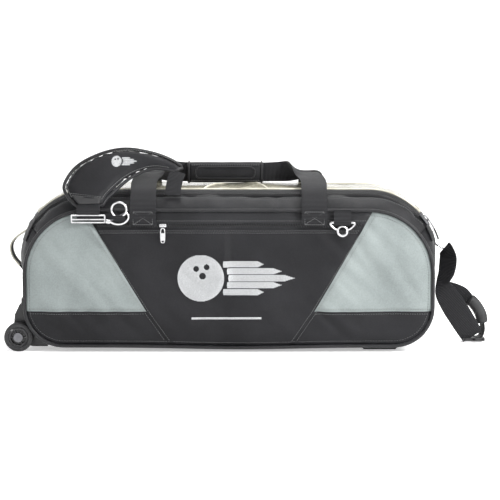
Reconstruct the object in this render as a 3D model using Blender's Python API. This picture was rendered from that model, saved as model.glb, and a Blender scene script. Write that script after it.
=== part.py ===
"""A rolling bag for three bowling balls, modelled as the sewn, moulded and metal pieces it is made of.

Metres, +Z up. The bag's long side runs along X with its wheels at -X, and its front faces -Y.
The origin is on the ground, below the middle of the whole object's box. The bag's own middle
is at BODY_X, so every piece hangs below one empty that stands there.
"""

import math

import bmesh
import bpy
from mathutils import Vector

# Driving dimensions of the sewn body
BODY_X = -0.0365
PANEL_HALF = 0.351
PANEL_LOW = 0.012
PANEL_HIGH = 0.244
TOP_RADIUS = 0.110
LOW_RADIUS = 0.066
DEPTH_HALF = 0.127
TOP_BULGE = 0.039
END_BULGE = 0.008
BASE_BULGE = 0.002
BULGE_POWER = 4.4
WALL = 0.004
GAP = 0.0005

# The lid covers this much of the outline each way from the top centre, and this share of the depth
LID_REACH = 0.335
LID_SHARE = 0.745
GUSSET_SHARE = 0.76
STRIP_SHARE = 0.963
LID_THICK = 0.003
LID_BORDER = 0.018

# The front hardware all turns on one line, and the rear handle on its mirror image
HARDWARE_Y = 0.137
HARDWARE_Z = 0.222
HANDLE_X = 0.147
WEBBING_WIDTH = 0.044
WEBBING_THICK = 0.0024
GRIP_WIDTH = 0.034
GRIP_LOW = 0.285
GRIP_HIGH = 0.323
GRIP_LEFT = -0.076
GRIP_RIGHT = 0.061
GRIP_BACK = 0.0043
GRIP_FRONT = 0.019

POCKET_LEFT = -0.160
POCKET_RIGHT = 0.200
POCKET_LOW = 0.040
POCKET_HIGH = 0.216
POCKET_DEPTH = 0.007
POCKET_RIM = 0.003
POCKET_SLIDER_X = -0.113

WHEEL_X = -0.364
WHEEL_RADIUS = 0.025
WHEEL_WIDTH = 0.022
WHEEL_Y = 0.115
HUB_RADIUS = 0.0165
AXLE_RADIUS = 0.004
AXLE_PLAY = 0.0004
BRACKET_OUTER = 0.101
BRACKET_INNER = 0.066

DIVIDER_X = 0.118
DIVIDER_THICK = 0.012
PULL_AXIS_X = 0.3678
PULL_AXIS_Z = 0.176

# The length of the outline from the top centre to the end of each of its runs
TOP_RUN = PANEL_HALF - TOP_RADIUS
TOP_TURN = TOP_RUN + TOP_RADIUS * math.pi / 2
SIDE_RUN = TOP_TURN + PANEL_HIGH - PANEL_LOW - TOP_RADIUS - LOW_RADIUS
LOW_TURN = SIDE_RUN + LOW_RADIUS * math.pi / 2

ALONG_X = Vector((1, 0, 0))
ALONG_Y = Vector((0, 1, 0))
ALONG_Z = Vector((0, 0, 1))

MATERIALS = {
    "nylon": ((0.018, 0.018, 0.020), 0.62, 0.0),
    "webbing": ((0.012, 0.012, 0.013), 0.72, 0.0),
    "vinyl": ((0.62, 0.60, 0.50), 0.18, 0.0),
    "metal": ((0.62, 0.63, 0.64), 0.28, 1.0),
    "plastic": ((0.020, 0.020, 0.021), 0.42, 0.0),
    "rubber": ((0.030, 0.030, 0.032), 0.78, 0.0),
    "foam": ((0.045, 0.045, 0.048), 0.85, 0.0),
}


def make_material(name):
    colour, roughness, metallic = MATERIALS[name]
    material = bpy.data.materials.new(name)
    material.use_nodes = True
    shader = material.node_tree.nodes["Principled BSDF"]
    shader.inputs["Base Color"].default_value = (*colour, 1)
    shader.inputs["Roughness"].default_value = roughness
    shader.inputs["Metallic"].default_value = metallic
    return material


def empty(name, place, parent=None):
    """An empty at a place in the bag's own frame, which its body's pieces hang below."""
    joint = bpy.data.objects.new(name, None)
    bpy.context.collection.objects.link(joint)
    joint.empty_display_size = 0.02
    joint.location = Vector(place)
    if parent:
        joint.parent = parent
        joint.location = Vector(place) - Vector(parent["place"])
    joint["place"] = tuple(place)
    return joint


def finish(piece, name, material, body):
    """Names the piece, gives it its material and hangs it below its body's empty."""
    piece.name = name
    piece.data.materials.append(bpy.data.materials[material])
    piece.parent = body
    piece.location = -Vector(body["place"])
    return piece


def mesh_piece(name, points, faces, material, body, smooth=False):
    data = bpy.data.meshes.new(name)
    data.from_pydata([tuple(point) for point in points], [], faces)
    shape = bmesh.new()
    shape.from_mesh(data)
    bmesh.ops.recalc_face_normals(shape, faces=shape.faces)
    shape.to_mesh(data)
    shape.free()
    if smooth:
        data.shade_smooth()
        data.set_sharp_from_angle(angle=math.radians(40))
    piece = bpy.data.objects.new(name, data)
    bpy.context.collection.objects.link(piece)
    return finish(piece, name, material, body)


def block(name, low, high, material, body):
    points = [(x, y, z) for x in (low[0], high[0]) for y in (low[1], high[1]) for z in (low[2], high[2])]
    faces = [(0, 1, 3, 2), (4, 6, 7, 5), (0, 4, 5, 1), (2, 3, 7, 6), (0, 2, 6, 4), (1, 5, 7, 3)]
    return mesh_piece(name, points, faces, material, body)


def prism(name, outline_points, sweep, material, body):
    """A closed outline carried along the sweep vector."""
    count = len(outline_points)
    near = [Vector(point) for point in outline_points]
    points = near + [point + sweep for point in near]
    faces = [tuple(range(count)), tuple(range(2 * count - 1, count - 1, -1))]
    faces += [(i, (i + 1) % count, count + (i + 1) % count, count + i) for i in range(count)]
    return mesh_piece(name, points, faces, material, body)


def turned(name, centre, profile, sides, material, body):
    """A ring or disc turned about a line along Y, from (radius, y) corners that go once round its section."""
    points = []
    for step in range(sides):
        angle = 2 * math.pi * step / sides
        for radius, y in profile:
            x = centre[0] + radius * math.cos(angle)
            z = centre[2] + radius * math.sin(angle)
            points.append((x, centre[1] + y, z))
    rows = len(profile)
    faces = []
    for step in range(sides):
        here = step * rows
        after = (step + 1) % sides * rows
        faces += [(here + i, here + (i + 1) % rows, after + (i + 1) % rows, after + i) for i in range(rows)]
    return mesh_piece(name, points, faces, material, body, smooth=True)


def disc(name, centre, radius, length, sides, material, body):
    """A solid pin along Y, from its centre's y."""
    rim = []
    for step in range(sides):
        angle = 2 * math.pi * step / sides
        rim.append((centre[0] + radius * math.cos(angle), centre[1], centre[2] + radius * math.sin(angle)))
    return prism(name, rim, ALONG_Y * length, material, body)


def tube(name, points, radius, material, body, closed=False):
    curve = bpy.data.curves.new(name, "CURVE")
    curve.dimensions = "3D"
    curve.bevel_depth = radius
    curve.bevel_resolution = 2
    curve.use_fill_caps = True
    spline = curve.splines.new("POLY")
    spline.points.add(len(points) - 1)
    for target, point in zip(spline.points, points):
        target.co = (*point, 1)
    spline.use_cyclic_u = closed
    piece = bpy.data.objects.new(name, curve)
    bpy.context.collection.objects.link(piece)
    return finish(piece, name, material, body)


def smooth_path(points, steps=3):
    """A Catmull-Rom curve through the points, with this many steps between each two."""
    points = [Vector(point) for point in points]
    ends = [2 * points[0] - points[1]] + points + [2 * points[-1] - points[-2]]
    path = []
    for i in range(1, len(ends) - 2):
        before, here, after, beyond = ends[i - 1 : i + 3]
        for step in range(steps):
            t = step / steps
            path.append(
                0.5
                * (
                    2 * here
                    + (after - before) * t
                    + (2 * before - 5 * here + 4 * after - beyond) * t**2
                    + (3 * here - before - 3 * after + beyond) * t**3
                )
            )
    return path + [points[-1]]


def strap(name, path, thickness, material, body):
    """A flat band along (point, direction of its width, width) stations."""
    points = []
    last = len(path) - 1
    for i, (place, across, width) in enumerate(path):
        run = (path[min(i + 1, last)][0] - path[max(i - 1, 0)][0]).normalized()
        across = (across - run * across.dot(run)).normalized()
        face = run.cross(across)
        for side, level in ((-1, -1), (1, -1), (1, 1), (-1, 1)):
            points.append(place + across * side * width / 2 + face * level * thickness / 2)
    faces = [(0, 1, 2, 3), tuple(4 * last + i for i in (3, 2, 1, 0))]
    for i in range(last):
        faces += [(4 * i + j, 4 * i + (j + 1) % 4, 4 * i + 4 + (j + 1) % 4, 4 * i + 4 + j) for j in range(4)]
    return mesh_piece(name, points, faces, material, body)


def outline(along):
    """A point (x, z) of the front panel's edge and its outward direction, by distance from the top centre."""
    side = math.copysign(1, along)
    reach = abs(along)
    if reach < TOP_RUN:
        return side * reach, PANEL_HIGH, 0.0, 1.0
    if reach < TOP_TURN:
        angle = (reach - TOP_RUN) / TOP_RADIUS
        x = TOP_RUN + TOP_RADIUS * math.sin(angle)
        z = PANEL_HIGH - TOP_RADIUS + TOP_RADIUS * math.cos(angle)
        return side * x, z, side * math.sin(angle), math.cos(angle)
    if reach < SIDE_RUN:
        return side * PANEL_HALF, PANEL_HIGH - TOP_RADIUS - (reach - TOP_TURN), side, 0.0
    if reach < LOW_TURN:
        angle = math.pi / 2 + (reach - SIDE_RUN) / LOW_RADIUS
        x = PANEL_HALF - LOW_RADIUS + LOW_RADIUS * math.sin(angle)
        z = PANEL_LOW + LOW_RADIUS + LOW_RADIUS * math.cos(angle)
        return side * x, z, side * math.sin(angle), math.cos(angle)
    return side * (PANEL_HALF - LOW_RADIUS - (reach - LOW_TURN)), PANEL_LOW, 0.0, -1.0


def bulge_at(rise):
    """How far the strip between the panels swells at mid depth, where its face points this far up."""
    if rise > 0:
        return END_BULGE + (TOP_BULGE - END_BULGE) * rise
    return END_BULGE + (END_BULGE - BASE_BULGE) * rise


def skin(along, across, out=0.0):
    """A point of the strip that joins the two panels. across runs from -1 at the front to 1 at the rear."""
    x, z, out_x, out_z = outline(along)
    lift = bulge_at(out_z) * (1 - abs(across) ** BULGE_POWER) + out
    return Vector((x + out_x * lift, DEPTH_HALF * across, z + out_z * lift))


def spread(first, last, count):
    return [first + (last - first) * i / count for i in range(count + 1)]


def outline_stops(reach, corner_steps=6):
    """Distances along the top of the outline to plus and minus reach, close together only in the corners."""
    half = [0.0, TOP_RUN * 0.5] + spread(TOP_RUN, reach, corner_steps)
    return [-stop for stop in reversed(half[1:])] + half


def skin_piece(name, alongs, acrosses, thickness, material, body, hole=None):
    """A sheet of the strip. hole = (first row, last row, first column, last column) of cells left out."""
    rows, columns = len(alongs), len(acrosses)
    outer = [skin(along, across) for along in alongs for across in acrosses]
    inner = [skin(along, across, -thickness) for along in alongs for across in acrosses]

    def kept(row, column):
        if not (0 <= row < rows - 1 and 0 <= column < columns - 1):
            return False
        if hole is None:
            return True
        return not (hole[0] <= row < hole[1] and hole[2] <= column < hole[3])

    faces = []
    below = len(outer)
    for row in range(rows - 1):
        for column in range(columns - 1):
            if not kept(row, column):
                continue
            corner = [
                row * columns + column,
                row * columns + column + 1,
                (row + 1) * columns + column + 1,
                (row + 1) * columns + column,
            ]
            faces.append(tuple(corner))
            faces.append(tuple(below + i for i in reversed(corner)))
            beyond = ((row - 1, column), (row, column + 1), (row + 1, column), (row, column - 1))
            for i, cell in enumerate(beyond):
                if not kept(*cell):
                    a, b = corner[i], corner[(i + 1) % 4]
                    faces.append((b, a, below + a, below + b))
    used = sorted({i for face in faces for i in face})
    number = {old: new for new, old in enumerate(used)}
    everything = outer + inner
    points = [everything[i] for i in used]
    faces = [tuple(number[i] for i in face) for face in faces]
    return mesh_piece(name, points, faces, material, body, smooth=True)


def panel_outline(depth, out=0.0, corner_steps=7):
    """The whole closed edge of a panel at one depth."""
    half = (
        [0.0]
        + spread(TOP_RUN, TOP_TURN, corner_steps)
        + spread(SIDE_RUN, LOW_TURN, corner_steps)
    )
    stops = half + [-stop for stop in reversed(half[1:])]
    points = []
    for along in stops:
        x, z, out_x, out_z = outline(along)
        points.append((x + out_x * out, depth, z + out_z * out))
    return points


def make_walls(bag):
    for name, depth in (("front_wall", -DEPTH_HALF), ("rear_wall", DEPTH_HALF - WALL)):
        prism(name, panel_outline(depth), ALONG_Y * WALL, "nylon", bag)
    for name, side in (("front_piping", -1), ("rear_piping", 1)):
        tube(name, panel_outline(side * (DEPTH_HALF + 0.0034), 0.002), 0.003, "nylon", bag, closed=True)
    base_half = PANEL_HALF - LOW_RADIUS - GAP
    strip_half = DEPTH_HALF * STRIP_SHARE
    low = PANEL_LOW - BASE_BULGE
    block("base_panel", (-base_half, -strip_half, low), (base_half, strip_half, low + WALL), "nylon", bag)
    across = [-STRIP_SHARE, -0.86, -0.74, -0.4, 0.0, 0.4, 0.74, 0.86, STRIP_SHARE]
    for name, side in (("wheel_end_panel", -1), ("pull_end_panel", 1)):
        first = LID_REACH + 0.006
        stops = spread(first, TOP_TURN, 3) + spread(SIDE_RUN, LOW_TURN - GAP, 5)
        skin_piece(name, [side * stop for stop in stops], across, WALL, "nylon", bag)
    for name, side in (("front_gusset", -1), ("rear_gusset", 1)):
        across_band = [side * share for share in (STRIP_SHARE, 0.89, 0.82, GUSSET_SHARE)]
        skin_piece(name, outline_stops(LID_REACH + 0.005), across_band, WALL, "nylon", bag)


def make_inside(bag):
    floor = PANEL_LOW - BASE_BULGE + WALL + GAP
    block("base_board", (-0.284, -0.118, floor), (0.284, 0.118, floor + WALL), "plastic", bag)
    low = floor + WALL + GAP
    for name, side in (("left_ball_divider", -1), ("right_ball_divider", 1)):
        near = side * DIVIDER_X - DIVIDER_THICK / 2
        corners = [
            (-0.118, low),
            (0.118, low),
            (0.118, 0.215),
            (0.100, 0.235),
            (-0.100, 0.235),
            (-0.118, 0.215),
        ]
        rim = [(near, y, z) for y, z in corners]
        prism(name, rim, ALONG_X * DIVIDER_THICK, "foam", bag)


def make_lid(lid):
    """The clear window in its bound frame, which the zip runs round."""
    border = LID_BORDER / DEPTH_HALF
    reach = LID_REACH - LID_BORDER
    stops = outline_stops(reach, 5)
    frame_stops = [-LID_REACH] + stops + [LID_REACH]
    inner = LID_SHARE - border
    columns = [-LID_SHARE, -inner, -0.35, 0.0, 0.35, inner, LID_SHARE]
    hole = (1, len(frame_stops) - 2, 1, len(columns) - 2)
    skin_piece("lid_frame", frame_stops, columns, LID_THICK, "nylon", lid, hole)
    clear = 0.0006
    window_stops = [stop * (reach - clear) / reach for stop in stops]
    share = inner - clear / DEPTH_HALF
    window_columns = [-share, -0.35, 0.0, 0.35, share]
    skin_piece("lid_window", window_stops, window_columns, 0.002, "vinyl", lid)


def make_main_zip(bag, slider_body, slider_along):
    """The coil round the lid's free edges, and the slider that rides over it at the pull end's shoulder."""
    end = LID_REACH + 0.009
    lift = 0.0018
    route = [(-end, across) for across in (0.70, 0.35, 0.0, -0.35, -0.70)]
    route += [(along, -0.775) for along in outline_stops(LID_REACH + 0.002)]
    route += [(end, across) for across in (-0.70, -0.35, 0.0, 0.35, 0.70)]
    tube("main_zip_chain", [skin(*stop, lift) for stop in route], 0.0013, "plastic", bag)
    shoe = [(skin(slider_along + step, -0.775, 0.006), ALONG_Y, 0.010) for step in (-0.008, 0.008)]
    strap("main_zip_slider", shoe, 0.0045, "metal", slider_body)
    hang = [(skin(slider_along + step, -0.775, 0.011), ALONG_Y, 0.007) for step in (-0.003, 0.010, 0.030)]
    strap("main_zip_pull", hang, 0.0016, "metal", slider_body)


def handle_stations(side):
    """One carry handle's webbing: flat up the wall, then turned on edge where it enters the grip."""
    half_turn = (ALONG_X + ALONG_Z).normalized()
    leg = [
        ((-HANDLE_X, HARDWARE_Y, HARDWARE_Z), ALONG_X, WEBBING_WIDTH),
        ((-HANDLE_X, HARDWARE_Y + 0.0015, 0.246), ALONG_X, WEBBING_WIDTH),
        ((-HANDLE_X, 0.112, 0.277), ALONG_X, WEBBING_WIDTH),
        ((-HANDLE_X + 0.002, 0.075, 0.2935), ALONG_X, WEBBING_WIDTH),
        ((-0.132, 0.036, 0.3025), ALONG_X, 0.040),
        ((-0.108, 0.011, 0.305), half_turn, 0.036),
        ((-0.082, 0.0028, 0.304), ALONG_Z, GRIP_WIDTH),
    ]
    stations = [(Vector((x, side * y, z)), across, width) for (x, y, z), across, width in leg]
    mirrored = []
    for place, across, width in reversed(stations):
        opposite = Vector((-across.x, 0, across.z)) if across.z else across
        mirrored.append((Vector((-place.x, place.y, place.z)), opposite, width))
    return stations + mirrored


def make_handle(name, side, body):
    stations = handle_stations(side)
    for i in range(1, len(stations)):
        if stations[i][1].dot(stations[i - 1][1]) < 0:
            place, across, width = stations[i]
            stations[i] = (place, -across, width)
    strap(f"{name}_handle_webbing", stations, WEBBING_THICK, "webbing", body)
    corner = 0.007
    section = [
        (GRIP_BACK, GRIP_LOW),
        (GRIP_FRONT - corner, GRIP_LOW),
        (GRIP_FRONT, GRIP_LOW + corner),
        (GRIP_FRONT, GRIP_HIGH - corner),
        (GRIP_FRONT - corner, GRIP_HIGH),
        (GRIP_BACK, GRIP_HIGH),
    ]
    rim = [(GRIP_LEFT, side * y, z) for y, z in section]
    prism(f"{name}_handle_grip", rim, ALONG_X * (GRIP_RIGHT - GRIP_LEFT), "nylon", body)


def make_shoulder_strap(body):
    """The crescent pad leaning on the handle, and what joins it to the left ring."""
    lean = 0.716
    foot_y, foot_z = -0.128, 0.255
    edge = [
        (-0.273, 0.262),
        (-0.286, 0.287),
        (-0.264, 0.321),
        (-0.2245, 0.341),
        (-0.1815, 0.350),
        (-0.135, 0.343),
        (-0.1006, 0.331),
        (-0.078, 0.316),
        (-0.097, 0.309),
        (-0.133, 0.313),
        (-0.161, 0.303),
        (-0.190, 0.279),
        (-0.214, 0.254),
    ]
    thick = 0.012
    facing = Vector((0, -1, lean)).normalized()
    rim = [Vector((x, foot_y + (z - foot_z) * lean, z)) - facing * thick / 2 for x, z in edge]
    prism("shoulder_pad", rim, facing * thick, "nylon", body)
    drop = [(-0.2405, -0.1372, 0.2500), (-0.2405, -0.1380, 0.2420), (-0.2405, -0.1390, 0.2325)]
    strap("strap_webbing", [(Vector(place), ALONG_X, 0.040) for place in drop], 0.003, "webbing", body)
    bar_low, bar_high = 0.2245, 0.2315
    block("strap_slide_bar", (-0.270, -0.1415, bar_low), (-0.211, -0.1375, bar_high), "metal", body)
    hook = [
        (-0.2085, -0.140, 0.228),
        (-0.196, -0.140, 0.2235),
        (-0.184, -0.140, 0.2245),
        (-0.174, -0.140, 0.2315),
    ]
    tube("strap_hook", smooth_path(hook), 0.0022, "metal", body)
    ring = []
    for step in range(16):
        angle = 2 * math.pi * step / 16
        ring.append((-0.1875 + 0.0125 * math.cos(angle), -0.140, 0.2475 + 0.0125 * math.sin(angle)))
    tube("left_strap_ring", ring, 0.002, "metal", body, closed=True)
    tail = [
        (-0.0905, -0.0940, 0.3025),
        (-0.094, -0.0985, 0.296),
        (-0.095, -0.106, 0.283),
        (-0.096, -0.110, 0.272),
    ]
    strap("strap_tail", [(Vector(place), ALONG_X, 0.026) for place in tail], 0.003, "webbing", body)


def make_right_ring(bag, body):
    """A triangular wire ring on its sewn tab."""
    centre, top, low = 0.195, HARDWARE_Z + 0.003, 0.2045
    block(
        "right_ring_tab",
        (centre - 0.022, -0.1345, 0.222),
        (centre + 0.022, -0.1275, 0.236),
        "webbing",
        bag,
    )
    shape = [(centre - 0.021, top), (centre - 0.017, top - 0.007), (centre - 0.006, low + 0.004)]
    shape += [
        (centre, low),
        (centre + 0.006, low + 0.004),
        (centre + 0.017, top - 0.007),
        (centre + 0.021, top),
    ]
    tube("right_ring", [(x, -HARDWARE_Y, z) for x, z in shape], 0.0018, "metal", body, closed=True)


def make_pocket(bag, slider_body, pull_body):
    face = -DEPTH_HALF - 0.0003
    front = face - POCKET_DEPTH
    low, high = POCKET_LOW, POCKET_HIGH
    rim = [
        (POCKET_LEFT, high),
        (POCKET_LEFT, low),
        (POCKET_RIGHT, low),
        (POCKET_RIGHT, high),
        (POCKET_RIGHT - POCKET_RIM, high),
        (POCKET_RIGHT - POCKET_RIM, low + POCKET_RIM),
        (POCKET_LEFT + POCKET_RIM, low + POCKET_RIM),
        (POCKET_LEFT + POCKET_RIM, high),
    ]
    plate = 0.002
    points = [Vector((x, face, z)) for x, z in rim] + [Vector((x, front + plate, z)) for x, z in rim]
    points += [Vector((x, front, z)) for x, z in rim[:4]]
    faces = [(0, 1, 6, 7), (1, 2, 5, 6), (2, 3, 4, 5)]
    faces += [(4, 12, 13, 5), (5, 13, 14, 6), (6, 14, 15, 7)]
    faces += [(0, 16, 17, 1), (1, 17, 18, 2), (2, 18, 19, 3), (16, 19, 18, 17)]
    faces += [(12, 15, 14, 13), (0, 7, 15, 12, 4, 3, 19, 16)]
    mesh_piece("front_pocket_panel", points, faces, "nylon", bag)
    chain = [
        (POCKET_LEFT, face - 0.0018, 0.2195),
        (0.0, face - 0.0018, 0.2195),
        (0.172, face - 0.0018, 0.2195),
    ]
    tube("pocket_zip_chain", chain, 0.0013, "plastic", bag)
    x = POCKET_SLIDER_X
    block(
        "pocket_zip_slider",
        (x - 0.006, -0.1372, 0.2167),
        (x + 0.006, -0.1312, 0.2225),
        "metal",
        slider_body,
    )
    block("pocket_zip_pull", (x - 0.004, -0.1396, 0.1900), (x + 0.004, -0.1380, 0.2162), "metal", pull_body)


def body_cutter(bag):
    """The bag's corner as a solid, grown by a hair, which the wheel brackets are cut to fit."""
    stops = [LID_REACH, TOP_TURN] + spread(SIDE_RUN, LOW_TURN, 10)
    rim = [(0.0, -DEPTH_HALF, PANEL_HIGH)]
    for along in stops:
        x, z, out_x, out_z = outline(-along)
        lift = bulge_at(out_z) + 0.0006
        rim.append((x + out_x * lift, -DEPTH_HALF, z + out_z * lift))
    rim.append((0.0, -DEPTH_HALF, PANEL_LOW - BASE_BULGE - 0.0006))
    cutter = prism("corner_cutter", rim, ALONG_Y * DEPTH_HALF * 2, "plastic", bag)
    cutter.hide_render = True
    cutter.display_type = "WIRE"
    return cutter


def cut(piece, cutter):
    modifier = piece.modifiers.new("cut", "BOOLEAN")
    modifier.operation = "DIFFERENCE"
    modifier.object = cutter


def make_wheels(bag, bodies):
    cutter = body_cutter(bag)
    bore = disc(
        "axle_cutter",
        (WHEEL_X, -DEPTH_HALF, WHEEL_RADIUS),
        AXLE_RADIUS + AXLE_PLAY,
        0.254,
        16,
        "plastic",
        bag,
    )
    bore.hide_render = True
    bore.display_type = "WIRE"
    rim = [
        (-0.3400, 0.080),
        (-0.3640, 0.080),
        (-0.3725, 0.062),
        (-0.3750, 0.036),
        (-0.3750, 0.021),
        (-0.3690, 0.0150),
        (-0.3420, 0.0060),
        (-0.3160, 0.0060),
        (-0.3160, 0.0300),
    ]
    for name, side in (("front", -1), ("rear", 1)):
        near = min(side * BRACKET_INNER, side * BRACKET_OUTER)
        shape = [(x, near, z) for x, z in rim]
        bracket = prism(
            f"{name}_wheel_bracket",
            shape,
            ALONG_Y * (BRACKET_OUTER - BRACKET_INNER),
            "plastic",
            bag,
        )
        cut(bracket, cutter)
        cut(bracket, bore)
        centre = (WHEEL_X, side * WHEEL_Y, WHEEL_RADIUS)
        half = WHEEL_WIDTH / 2
        tread = [(HUB_RADIUS + 0.0003, half - 0.001), (HUB_RADIUS + 0.0003, -half + 0.001)]
        tread += [(WHEEL_RADIUS - 0.003, -half), (WHEEL_RADIUS, -half + 0.003)]
        tread += [(WHEEL_RADIUS, half - 0.003), (WHEEL_RADIUS - 0.003, half)]
        turned(f"{name}_wheel_tyre", centre, tread, 32, "rubber", bodies[name])
        hub = [
            (AXLE_RADIUS + AXLE_PLAY, half),
            (AXLE_RADIUS + AXLE_PLAY, -half),
            (HUB_RADIUS, -half),
            (HUB_RADIUS, half),
        ]
        turned(f"{name}_wheel_hub", centre, hub, 24, "plastic", bodies[name])
        cap = WHEEL_Y + half + 0.0006
        stem_start = BRACKET_INNER + 0.002
        shaft = [(0.0, stem_start), (AXLE_RADIUS, stem_start), (AXLE_RADIUS, cap), (0.008, cap)]
        shaft += [(0.008, cap + 0.002), (0.0, cap + 0.0026)]
        spin_axle(f"{name}_axle", side, shaft, bag)


def spin_axle(name, side, profile, bag):
    """The axle pin with its domed cap, turned about the wheel's line from (radius, y) corners."""
    sides = 16
    points = [Vector((WHEEL_X, side * profile[0][1], WHEEL_RADIUS))]
    for step in range(sides):
        angle = 2 * math.pi * step / sides
        for radius, y in profile[1:-1]:
            x = WHEEL_X + radius * math.cos(angle)
            points.append(Vector((x, side * y, WHEEL_RADIUS + radius * math.sin(angle))))
    points.append(Vector((WHEEL_X, side * profile[-1][1], WHEEL_RADIUS)))
    rows = len(profile) - 2
    last = len(points) - 1
    faces = []
    for step in range(sides):
        here = 1 + step * rows
        after = 1 + (step + 1) % sides * rows
        faces.append((0, here, after))
        faces += [(here + i, here + i + 1, after + i + 1, after + i) for i in range(rows - 1)]
        faces.append((here + rows - 1, last, after + rows - 1))
    mesh_piece(name, points, faces, "metal", bag, smooth=True)


def make_feet(bag):
    top = PANEL_LOW - BASE_BULGE - 0.0003
    for name, side in (("front_skid_foot", -1), ("rear_skid_foot", 1)):
        near, far = sorted((side * 0.060, side * 0.096))
        rim = [(0.225, near, top), (0.235, near, 0.0), (0.290, near, 0.0), (0.300, near, top)]
        prism(name, rim, ALONG_Y * (far - near), "rubber", bag)


def make_grab_strap(bag):
    """The short loop at the wheel end, for lifting the bag by its end."""
    route = [
        (-0.3585, 0, 0.2010),
        (-0.3690, 0, 0.1965),
        (-0.3805, 0, 0.1880),
        (-0.3885, 0, 0.1760),
        (-0.3895, 0, 0.1660),
        (-0.3840, 0, 0.1520),
        (-0.3730, 0, 0.1390),
        (-0.3650, 0, 0.1270),
    ]
    strap(
        "end_grab_strap",
        [(place, ALONG_Y, 0.030) for place in smooth_path(route, 2)],
        0.003,
        "webbing",
        bag,
    )


def make_pull_strap(bag, body):
    block("pull_anchor_tab", (0.3634, -0.021, 0.150), (0.3652, 0.021, 0.196), "webbing", bag)
    near, far = PULL_AXIS_X + 0.0003, PULL_AXIS_X + 0.0115
    ring = [(near, -0.023, 0.176), (near, 0.023, 0.176), (far, 0.023, 0.170), (far, -0.023, 0.170)]
    tube("pull_ring", ring, 0.0018, "metal", body, closed=True)
    drop = Vector((0.88, 0, 0.47))
    upper = [
        ((0.3850, -0.006, 0.1685), (0.60, -0.80, 0.0), 0.034),
        ((0.3900, -0.010, 0.1500), (0.72, -0.70, 0.0), 0.038),
        ((0.3885, -0.011, 0.1280), (0.78, -0.62, 0.0), 0.036),
        ((0.3850, -0.011, 0.1080), (0.85, -0.30, 0.3), 0.030),
        ((0.3910, -0.012, 0.0880), drop, 0.036),
        ((0.4060, -0.013, 0.0600), drop, 0.038),
        ((0.4210, -0.013, 0.0330), drop, 0.036),
    ]
    strap("pull_webbing", strap_stations(upper), 0.003, "webbing", body)
    grip = [
        (0.4340, 0.002, 0.0720),
        (0.4430, 0.002, 0.0620),
        (0.4500, 0.002, 0.0490),
        (0.4530, 0.002, 0.0350),
    ]
    tube("pull_grip", smooth_path(grip, 3), 0.0115, "rubber", body)
    level = Vector((0.50, 0, 0.87))
    back = [
        ((0.3865, 0.003, 0.1000), level, 0.026),
        ((0.4000, 0.004, 0.0905), level, 0.032),
        ((0.4150, 0.004, 0.0830), level, 0.032),
        ((0.4225, 0.003, 0.0790), level, 0.028),
    ]
    strap("pull_return_webbing", strap_stations(back), 0.003, "webbing", body)
    block("pull_slide_buckle", (0.4160, -0.018, 0.0030), (0.4560, 0.012, 0.0090), "plastic", body)


def strap_stations(stations):
    return [(Vector(point), Vector(across), width) for point, across, width in stations]


def circle_centre(first, second, third):
    """The centre, in x and z, of the circle through three points."""
    ax, az, bx, bz, cx, cz = first.x, first.z, second.x, second.z, third.x, third.z
    scale = 2 * (ax * (bz - cz) + bx * (cz - az) + cx * (az - bz))
    a, b, c = ax**2 + az**2, bx**2 + bz**2, cx**2 + cz**2
    x = (a * (bz - cz) + b * (cz - az) + c * (az - bz)) / scale
    z = (a * (cx - bx) + b * (ax - cx) + c * (bx - ax)) / scale
    return x, z


def main():
    for leftover in list(bpy.data.objects):
        bpy.data.objects.remove(leftover)
    for name in MATERIALS:
        make_material(name)
    bag = empty("bag", (0, 0, 0))
    bag.location = (BODY_X, 0, 0)
    hinge = skin(0, LID_SHARE)
    lid = empty("lid", (0, hinge.y + 0.0008, hinge.z - LID_THICK / 2), bag)
    front_handle = empty("front_handle", (0, -HARDWARE_Y, HARDWARE_Z), bag)
    rear_handle = empty("rear_handle", (0, HARDWARE_Y, HARDWARE_Z), bag)
    shoulder_strap = empty("shoulder_strap", (-0.195, -HARDWARE_Y, HARDWARE_Z), bag)
    right_ring = empty("right_d_ring", (0.195, -HARDWARE_Y, HARDWARE_Z + 0.003), bag)
    pocket_slider = empty("pocket_slider", (POCKET_SLIDER_X, -0.1342, 0.2195), bag)
    pocket_pull = empty("pocket_pull", (POCKET_SLIDER_X, -0.1388, 0.2170), pocket_slider)
    slider_along = TOP_RUN + TOP_RADIUS * math.radians(46)
    turn_points = [skin(TOP_RUN + TOP_RADIUS * math.radians(angle), -0.775) for angle in (46, 31, 16)]
    turn_x, turn_z = circle_centre(*turn_points)
    main_slider = empty("main_slider", (turn_x, -0.775 * DEPTH_HALF, turn_z), bag)
    pull_strap = empty("pull_strap", (PULL_AXIS_X, 0, PULL_AXIS_Z), bag)
    wheels = {}
    for name, side in (("front", -1), ("rear", 1)):
        wheels[name] = empty(f"{name}_wheel", (WHEEL_X, side * WHEEL_Y, WHEEL_RADIUS), bag)
    make_walls(bag)
    make_inside(bag)
    make_lid(lid)
    make_main_zip(bag, main_slider, slider_along)
    make_handle("front", -1, front_handle)
    make_handle("rear", 1, rear_handle)
    make_shoulder_strap(shoulder_strap)
    make_right_ring(bag, right_ring)
    make_pocket(bag, pocket_slider, pocket_pull)
    make_wheels(bag, wheels)
    make_feet(bag)
    make_grab_strap(bag)
    make_pull_strap(bag, pull_strap)


main()
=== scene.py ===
"""Looks of the rolling bowling bag: sewn panels, vinyl lid, webbing, padding, zips, metal and plastic.

Metres, row frame. Places come from the frame's own boxes, and BX is the bag's middle.
"""

import math

import bmesh
import bpy
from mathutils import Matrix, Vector, noise


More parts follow.
